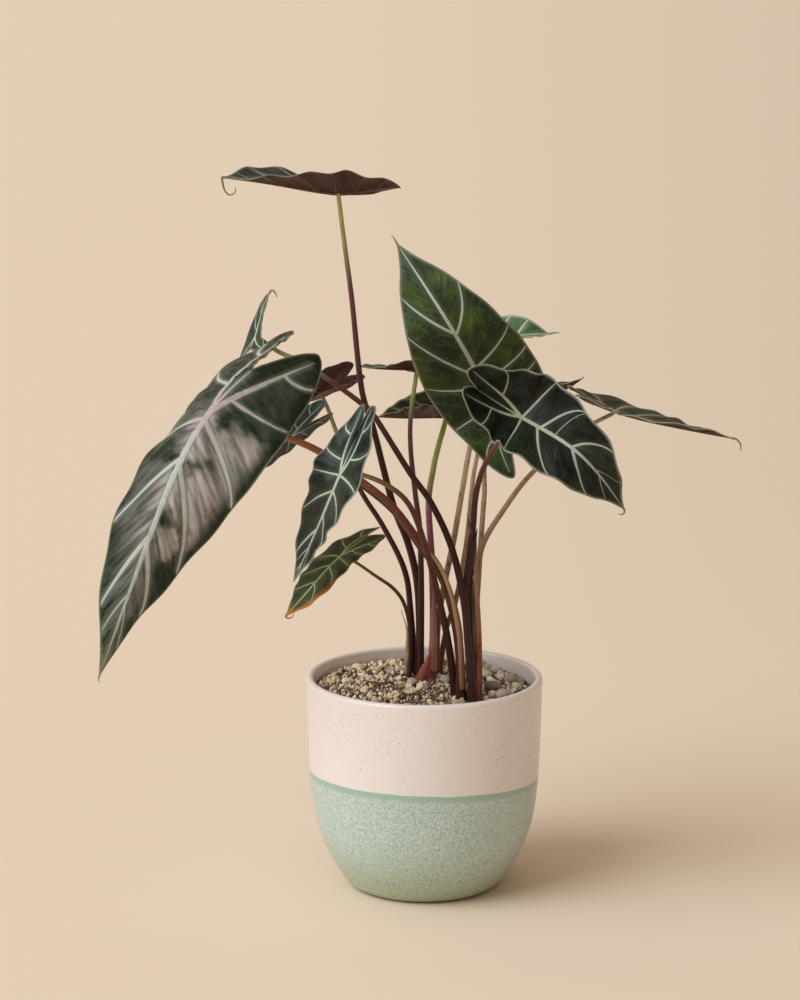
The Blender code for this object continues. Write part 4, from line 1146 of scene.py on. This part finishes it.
def hookPart(leaf):
    # the drip tip, a thread that goes on from the point of the blade
    sides = blade["hookSides"]
    tip = leaf["centre"](np.array([0.975, 1.0]))
    path = evenPath(np.vstack([tip, tip[-1] + np.array(leaf["hook"], float)]), 0.5)
    forward = unit(np.gradient(path, axis=0))
    sideways = unit(np.cross(forward, (0.15, 1.0, 0.1)))
    upward = 0.7 * np.cross(sideways, forward)
    points = tubePoints(path, np.linspace(*blade["hookRadii"], len(path)), sideways, upward, sides)
    ends = np.ones(len(points))
    values = flatValues(leaf, ends, 0 * ends)
    values["dry"] = np.repeat(np.linspace(values["dry"][0], 1.0, len(path)), sides)
    return tubePart(points, len(path), 2, values)


def makeLeaf(name, leaf, materials):
    joint, middle, tip = (np.array(place, float) for place in leaf["line"][1:])
    leaf["length"] = np.linalg.norm(middle - joint) + np.linalg.norm(tip - middle)
    leaf["centre"] = naturalSpline((-0.5, 0.0, 0.5, 1.0), leaf["line"])
    outline = bladeOutline(leaf)
    turn = int(np.argmin(outline[:, 0]))
    leaf["outerAlong"], leaf["outerAcross"] = outline[turn:, 0], np.maximum(outline[turn:, 1], 0.004)
    plan = veinPlan(leaf)
    leaf["veinLines"] = [flatPlaces(leaf, curve[::2, 0], curve[::2, 1]) for curve, first, last in plan
                         if first > 0.5 * blade["sideWidth"]]
    leaf["edgeLines"] = [flatPlaces(leaf, outline[::2, 0], sign * outline[::2, 1] + sign * 1e-6)
                         for sign in (1, -1)]
    parts = [sheetPart(leaf, outline)]
    parts += [veinPart(leaf, *vein, under) for vein in plan for under in (False, True)]
    parts += [marginPart(leaf, outline, sign) for sign in (1, -1)]
    if "hook" in leaf:
        parts.append(hookPart(leaf))
    faces = []
    start = 0
    for part in parts:
        faces += [tuple(start + corner for corner in face) for face in part["faces"]]
        start += len(part["points"])
    mesh = newMesh("blade_" + name, np.vstack([part["points"] for part in parts]), faces)
    for key in parts[0]["values"]:
        storeValues(mesh, key, np.concatenate([part["values"][key] for part in parts]))
    for material in materials:
        mesh.materials.append(material)
    mesh.polygons.foreach_set("material_index", np.concatenate([part["material"] for part in parts]))
    turnOutwards(mesh)
    finishPiece(addObject("blade_" + name, mesh), slotOf("leaf_" + name), "leaf_" + name)
    print("blade", name, "%.0f long," % leaf["length"], len(faces), "faces")


def makeLeaves():
    looks = {name: bladeMaterials(name, look) for name, look in bladeLooks.items()}
    for number, name in enumerate(leaves):
        leaves[name] = {**usualLeaf, **leaves[name], "number": number}
        makeLeaf(name, leaves[name], looks[leaves[name]["look"]])


# Stalks: radius at the blade and at the foot, and the points passed on the way down, as packed; then the
# colour at the blade, half way and at the foot, where these turn, and how strongly it is speckled.
stalks = {
    "top": {"radii": (1.4, 2.8), "route": ((-51, 4, 421), (-47, 8, 389), (-41, 14, 330), (-33, 18, 301),
            (-21, 24, 252), (-11, 27, 225), (-5, 27, 200), (-3, 25, 172), (-3, 24, 134)),
        "colours": ((0.38, 0.42, 0.14), (0.15, 0.055, 0.06), (0.05, 0.016, 0.014)),
        "turns": (0.05, 0.19, 0.5), "speckle": 0.1},
    "big_left": {"radii": (1.8, 3.0), "route": ((-113, -70, 322), (-88, -60, 312), (-65, -52, 300),
            (-41, -46, 281), (-21, -40, 263), (-4, -34, 239), (11, -30, 216), (21, -29, 181),
            (23.5, -30, 134)), "colours": ((0.44, 0.2, 0.1), (0.17, 0.05, 0.036), (0.06, 0.017, 0.013)),
        "turns": (0.1, 0.55, 0.9), "speckle": 0.2},
    "behind_left": {"radii": (1.4, 2.7), "route": ((-95, 25, 352), (-82, 20, 347), (-61, 12, 335),
            (-42, 6, 322), (-33, 3, 314), (-10, -8, 279), (4, -15, 260), (17, -24, 233), (25, -32, 200),
            (28, -35, 170), (31, -37, 134)),
        "colours": ((0.3, 0.29, 0.1), (0.11, 0.035, 0.03), (0.045, 0.014, 0.011)), "turns": (0.1, 0.2, 0.5),
        "speckle": 0.1},
    "back_left": {"radii": (1.3, 2.3), "route": ((-63, 42, 310), (-58, 41, 296), (-43, 38, 259),
            (-27, 36, 233), (-13, 34, 204), (-9, 32, 177), (-6, 31, 134)),
        "colours": ((0.32, 0.3, 0.11), (0.09, 0.03, 0.025), (0.045, 0.012, 0.01)),
        "turns": (0.12, 0.35, 0.9), "speckle": 0.15},
    "small_left": {"radii": (1.4, 2.2), "route": ((-66, -27, 294), (-42, -22, 274), (-21, -16, 255),
            (-4, -12, 231), (11, -11, 208), (20, -13, 175), (24, -14, 134)),
        "colours": ((0.15, 0.08, 0.05), (0.1, 0.036, 0.028), (0.05, 0.014, 0.01)), "speckle": 0.2},
    "middle_hanging": {"radii": (1.4, 2.6), "route": ((-41, -76, 291), (-24, -66, 282), (-10, -56, 267),
            (0, -46, 239), (9, -32, 200), (15, -25, 171), (20, -22, 134)),
        "colours": ((0.36, 0.31, 0.11), (0.12, 0.042, 0.028), (0.05, 0.015, 0.012)),
        "turns": (0.05, 0.28, 0.8), "speckle": 0.3},
    "low_left": {"radii": (0.9, 1.6), "route": ((-46, -26, 224), (-32, -12, 211), (-21, 1, 200),
            (-14, 12, 188), (-10, 19, 172), (-9, 22, 152), (-10, 22, 134)),
        "colours": ((0.2, 0.17, 0.06), (0.13, 0.09, 0.04), (0.09, 0.04, 0.025)), "speckle": 0.1},
    "upright": {"radii": (1.6, 2.3), "route": ((37, -15, 329), (29, -6, 294), (24, 2, 262), (19, 10, 229),
            (14, 18, 202), (9, 26, 169), (8, 28, 134)),
        "colours": ((0.5, 0.38, 0.25), (0.5, 0.36, 0.24), (0.2, 0.08, 0.05)), "speckle": 0.8},
    "front_right": {"radii": (1.5, 2.7), "route": ((53, -58, 317), (47, -51, 308), (40, -44, 295),
            (35, -39, 282), (32, -35, 266), (31, -31, 249), (29, -27, 230), (27, -22, 208),
            (28.5, -23, 184), (31.5, -27.5, 134)),
        "colours": ((0.2, 0.085, 0.06), (0.06, 0.017, 0.015), (0.03, 0.008, 0.007)), "speckle": 0.2},
    "small_back": {"radii": (1.2, 1.9),
        "route": ((43, 40, 317), (33, 34, 272), (28, 31, 225), (21, 31, 184), (15, 33, 165), (10, 35, 134)),
        "colours": ((0.44, 0.38, 0.2), (0.48, 0.35, 0.23), (0.2, 0.08, 0.05)), "speckle": 0.6},
    "back_right": {"radii": (1.4, 2.1), "route": ((60, 44, 300), (41, 22, 284), (39, 10, 260), (37, 1, 236),
            (35, -5, 206), (33, -9, 174), (33, -11, 134)),
        "colours": ((0.36, 0.23, 0.14), (0.42, 0.29, 0.19), (0.16, 0.06, 0.04)), "speckle": 0.6},
    "right_edge": {"radii": (1.3, 2.4), "route": ((103, 10, 303), (70, 0, 277), (51, -5, 253),
            (38, -10, 232), (34, -13, 212), (32, -15, 194), (30, -17, 169), (31, -19, 134)),
        "colours": ((0.44, 0.34, 0.18), (0.38, 0.23, 0.15), (0.12, 0.04, 0.028)), "speckle": 0.35},
    "edge_back": {"radii": (1.4, 2.3), "route": ((-9, 22, 310), (-9, 20, 288), (-6, 19, 259), (-3, 18, 234),
            (-2, 17, 193), (-2.5, 16, 134)),
        "colours": ((0.27, 0.35, 0.1), (0.13, 0.07, 0.06), (0.06, 0.022, 0.018)),
        "turns": (0.06, 0.18, 0.7), "speckle": 0.15},
    "folded_back": {"radii": (1.8, 2.6),
        "route": ((9, 66, 279), (6, 60, 266), (3, 46, 247), (5, 30, 212), (6, 19, 173), (5, 17, 134)),
        "colours": ((0.33, 0.4, 0.08), (0.28, 0.085, 0.14), (0.3, 0.095, 0.1)), "turns": (0.16, 0.36, 0.85),
        "speckle": 0.1},
}

stalk = {
    "foot": 126.0,
    "headGap": 1.3,
    "sides": 20,
    "step": 2.5,
    "turns": (0.03, 0.35, 0.9),
    "bumps": 0.18,
    "swell": 0.4,               # how much thicker the foot gets, from this height down and over this length
    "swellFrom": 165.0,
    "swellOver": 40.0,
}


def stalkMaterial(name, colours, turns, speckle):
    material, tree = newMaterial(name + "Stalk", colours[1], 0.36, 0.2)
    body = rampOf(tree, attributeOf(tree, "alongStalk"), list(zip(turns, colours)))
    streaks = objectPlace(tree, (1.0, 1.0, 0.09))
    dark = mixColours(tree, 0.55, body, (0.02, 0.01, 0.008))
    streaky = rangeOf(tree, noiseOf(tree, streaks, 700.0, 3.0, 0.6), 0.45, 0.7, 0.0, 0.6)
    body = mixColours(tree, streaky, body, dark)
    spots = noiseOf(tree, objectPlace(tree, (1.0, 1.0, 0.45)), 520.0, 2.0, 0.7)
    body = mixColours(tree, rangeOf(tree, spots, 0.56, 0.66, 0.0, speckle), body, (0.07, 0.035, 0.028))
    dots = rangeOf(tree, cellsOf(tree, objectPlace(tree), 260.0), 0.05, 0.11, 0.35, 0.0)
    body = mixColours(tree, dots, body, (0.42, 0.36, 0.28))
    return finishMaterial(material, body, bumpOf(tree, noiseOf(tree, streaks, 900.0, 3.0, 0.6), 0.00025))


def tubeTree():
    # a tube along the given edges, as thick as their "thickness", a little uneven
    tree, given = newTree("fleshyStalk", {"Sides": ("Int", 16), "Bumps": ("Float", 0.0001)})
    curve = addNode(tree, "GeometryNodeMeshToCurve", {"Mesh": given["Geometry"]})
    section = addNode(tree, "GeometryNodeCurvePrimitiveCircle", {"Resolution": given["Sides"], "Radius": 1.0})
    thickness = addNode(tree, "GeometryNodeInputNamedAttribute", {"Name": "thickness"}, data_type="FLOAT")
    tube = addNode(tree, "GeometryNodeCurveToMesh", {
        "Curve": curve, "Profile Curve": section, "Scale": thickness, "Fill Caps": True})
    stretched = vectorOf(tree, "MULTIPLY", addNode(tree, "GeometryNodeInputPosition"), (1.0, 1.0, 0.15))
    bumps = mathOf(tree, "SUBTRACT", noiseOf(tree, stretched, 420.0), 0.5)
    outward = addNode(tree, "GeometryNodeInputNormal")
    offset = vectorOf(tree, "SCALE", outward, times(tree, bumps, given["Bumps"]))
    moved = addNode(tree, "GeometryNodeSetPosition", {"Geometry": tube, "Offset": offset})
    return endTree(tree, moved, given)


def stalkPath(name):
    # from inside the blade's joint down into the mix, with the thickness at each point
    leaf = leaves[name]
    head, foot = stalks[name]["radii"]
    origin = np.array([0.0])
    joint, normal = bladePoints(leaf, origin, origin)[0], bladeNormals(leaf, origin, origin)[0]
    route = stalks[name]["route"]
    end = (*route[-1][:2], stalk["foot"])
    droop = max(0.0, -math.sin(math.radians(min(leaf["fold"]))))
    start = [joint - normal * (0.4 + head * droop), joint - normal * (head + stalk["headGap"])]
    path = evenPath([*start, *route, end], stalk["step"])
    radius = np.linspace(head, foot, len(path))
    radius[0] = head * 0.9
    swell = np.clip((stalk["swellFrom"] - path[:, 2]) / stalk["swellOver"], 0, 1)
    return path, radius * (1 + stalk["swell"] * swell ** 2)


def makeStalks():
    tree = tubeTree()
    for name, look in stalks.items():
        path, radius = stalkPath(name)
        mesh = chainMesh(name + "Path", path)
        storeValues(mesh, "thickness", radius * mm)
        storeValues(mesh, "alongStalk", np.linspace(0, 1, len(path)))
        turns = look.get("turns", stalk["turns"])
        piece = runTree("petiole_" + name, mesh, tree, {
            "Sides": stalk["sides"], "Bumps": stalk["bumps"] * mm,
            "Material": stalkMaterial(name, look["colours"], turns, look["speckle"])})
        turnOutwards(piece.data)
        finishPiece(piece, slotOf("stalk_" + name), "stalk_" + name)


# Papery sheaths round the feet: route, half width, the way the outside looks, how far they wrap round in
# degrees, and their colours from foot to point. The ones without a node of their own are thin trim.
sheaths = {
    "sheath_left": {"route": ((-13.5, 27, 133), (-12.4, 28, 150), (-12, 28, 165), (-15.5, 28, 178.5)),
        "halfWidth": 1.9, "taper": 2.2, "outward": (-1, -0.5, 0), "wrap": 50,
        "colours": ((0.34, 0.22, 0.12), (0.62, 0.48, 0.3))},
    "sheath_right": {"route": ((37, -25, 133), (36.8, -25, 165), (35, -25.5, 200), (33.6, -25, 228),
            (33, -24, 243)), "halfWidth": 3.0, "taper": 5.0, "outward": (1, -0.6, 0), "wrap": 65,
        "colours": ((0.24, 0.05, 0.02), (0.3, 0.19, 0.11))},
    "spike_front": {"route": ((-2.5, 8, 132.5), (1, 8.5, 144), (5.5, 10, 158)), "halfWidth": 5.2,
        "taper": 1.0, "outward": (-0.1, -1, 0), "wrap": 55,
        "colours": ((0.26, 0.05, 0.035), (0.4, 0.11, 0.09))},
    "sheath_tan": {"route": ((25.8, -32.6, 140), (24.6, -32, 162), (22.6, -32, 184), (13.4, -33, 216),
            (-1.6, -36.6, 239)), "halfWidth": 2.6, "taper": 3.5, "outward": (0.75, -0.65, 0.3), "wrap": 60,
        "colours": ((0.3, 0.13, 0.09), (0.56, 0.34, 0.18))},
    "sheath_pink": {"route": ((6, 13.2, 140), (6.3, 14, 160), (5.8, 15.6, 178), (6.0, 19.5, 196)),
        "halfWidth": 2.8, "taper": 2.2, "outward": (0.1, -1, 0), "wrap": 65,
        "colours": ((0.45, 0.22, 0.13), (0.45, 0.18, 0.26))},
    "sheath_red": {"route": ((35.5, -31, 133), (35.5, -31.5, 148), (34.5, -31, 164)), "halfWidth": 2.8,
        "taper": 2.2, "outward": (0.8, -0.6, 0), "wrap": 60,
        "colours": ((0.34, 0.07, 0.03), (0.2, 0.05, 0.03))},
    "sheath_curl": {"route": ((29, -25.6, 186), (28.8, -25.0, 206), (31.0, -29.6, 228), (33.6, -33.2, 247)),
        "halfWidth": 3.6, "taper": 3.0, "outward": (0.45, -1, 0), "wrap": 75, "streak": 0.04,
        "colours": ((0.07, 0.02, 0.011), (0.009, 0.005, 0.004))},
    "spur_high": {"route": ((29.5, -33.4, 243), (28.6, -34, 249), (26.6, -34, 257)), "halfWidth": 0.7,
        "taper": 1.2, "outward": (-0.6, -1, 0), "wrap": 50,
        "colours": ((0.1, 0.035, 0.02), (0.03, 0.012, 0.008))},
    "spur_low": {"route": ((33.6, -30.2, 160), (34.2, -31, 166), (36.6, -31.5, 171)), "halfWidth": 0.9,
        "taper": 1.2, "outward": (0.8, -0.6, 0), "wrap": 50,
        "colours": ((0.1, 0.035, 0.02), (0.04, 0.015, 0.01))},
}

paper = {"wide": 15, "step": 1.2, "thickness": 0.32, "curl": 0.18, "streak": 0.4}


def sheathMaterial(name, colours, streak):
    material, tree = newMaterial(name + "Paper", colours[1], 0.6, 0.35)
    body = mixColours(tree, attributeOf(tree, "alongSheath"), *colours)
    lines = objectPlace(tree, (1.0, 1.0, 0.05))
    pale = mixColours(tree, streak, body, (0.4, 0.28, 0.18))
    body = mixColours(tree, rangeOf(tree, noiseOf(tree, lines, 1100.0, 3.0), 0.5, 0.68, 0.0, 0.7), body, pale)
    return finishMaterial(material, body, bumpOf(tree, noiseOf(tree, lines, 1300.0, 3.0), 0.0004))


def makeSheath(name, sheath):
    # a thin sheet rolled round its foot, narrowing to a point, with a wavy edge
    wide = paper["wide"]
    path = evenPath(sheath["route"], paper["step"])
    rows = len(path)
    forward = unit(np.gradient(path, axis=0))
    outward = np.array(sheath["outward"], float)
    outward = unit(outward - (forward * outward).sum(-1, keepdims=True) * forward)
    side = np.cross(forward, outward)
    run = np.linspace(0, 1, rows)
    width = sheath["halfWidth"] * np.maximum(1 - run ** sheath["taper"], 0.05) * (1 + 0.06 * np.sin(19 * run))
    angles = np.radians(sheath["wrap"]) * np.linspace(-1, 1, wide)
    bend = width / math.sin(np.radians(sheath["wrap"]))
    curl = np.sin(11 * run[:, None] + 5 * angles[None, :]) * (np.abs(angles) / angles.max()) ** 2
    over = bend[:, None] * np.sin(angles)[None, :]
    skins = []
    for depth in (0.0, -paper["thickness"]):
        out = bend[:, None] * (np.cos(angles)[None, :] - 1) + depth + paper["curl"] * curl
        skins.append((path[:, None, :] + out[..., None] * outward[:, None, :]
                      + over[..., None] * side[:, None, :]).reshape(-1, 3))
    count = rows * wide
    loop = [*range(0, count - wide, wide), *range(count - wide, count - 1),
            *range(count - 1, wide - 1, -wide), *range(wide - 1, 0, -1)]
    faces = flipped(gridFaces(rows, wide)) + gridFaces(rows, wide, count)
    faces += [(here, there, there + count, here + count) for here, there in zip(loop, loop[1:] + loop[:1])]
    mesh = newMesh("papery_" + name, np.vstack(skins), faces)
    storeValues(mesh, "alongSheath", np.tile(np.repeat(run, wide), 2))
    turnOutwards(mesh)
    mesh.materials.append(sheathMaterial(name, sheath["colours"], sheath.get("streak", paper["streak"])))
    nodes = [name] if name in frame["nodes"] else []
    finishPiece(addObject("papery_" + name, mesh), "dry_sheath", *nodes)


makeStudio()
print("studio ready")
makePot()
makeSoil()
print("pot and mix ready")
makeGrit()
makePebbles()
print("grit and pebbles ready")
makeLeaves()
makeStalks()
for name in sheaths:
    makeSheath(name, sheaths[name])
print("plant ready")
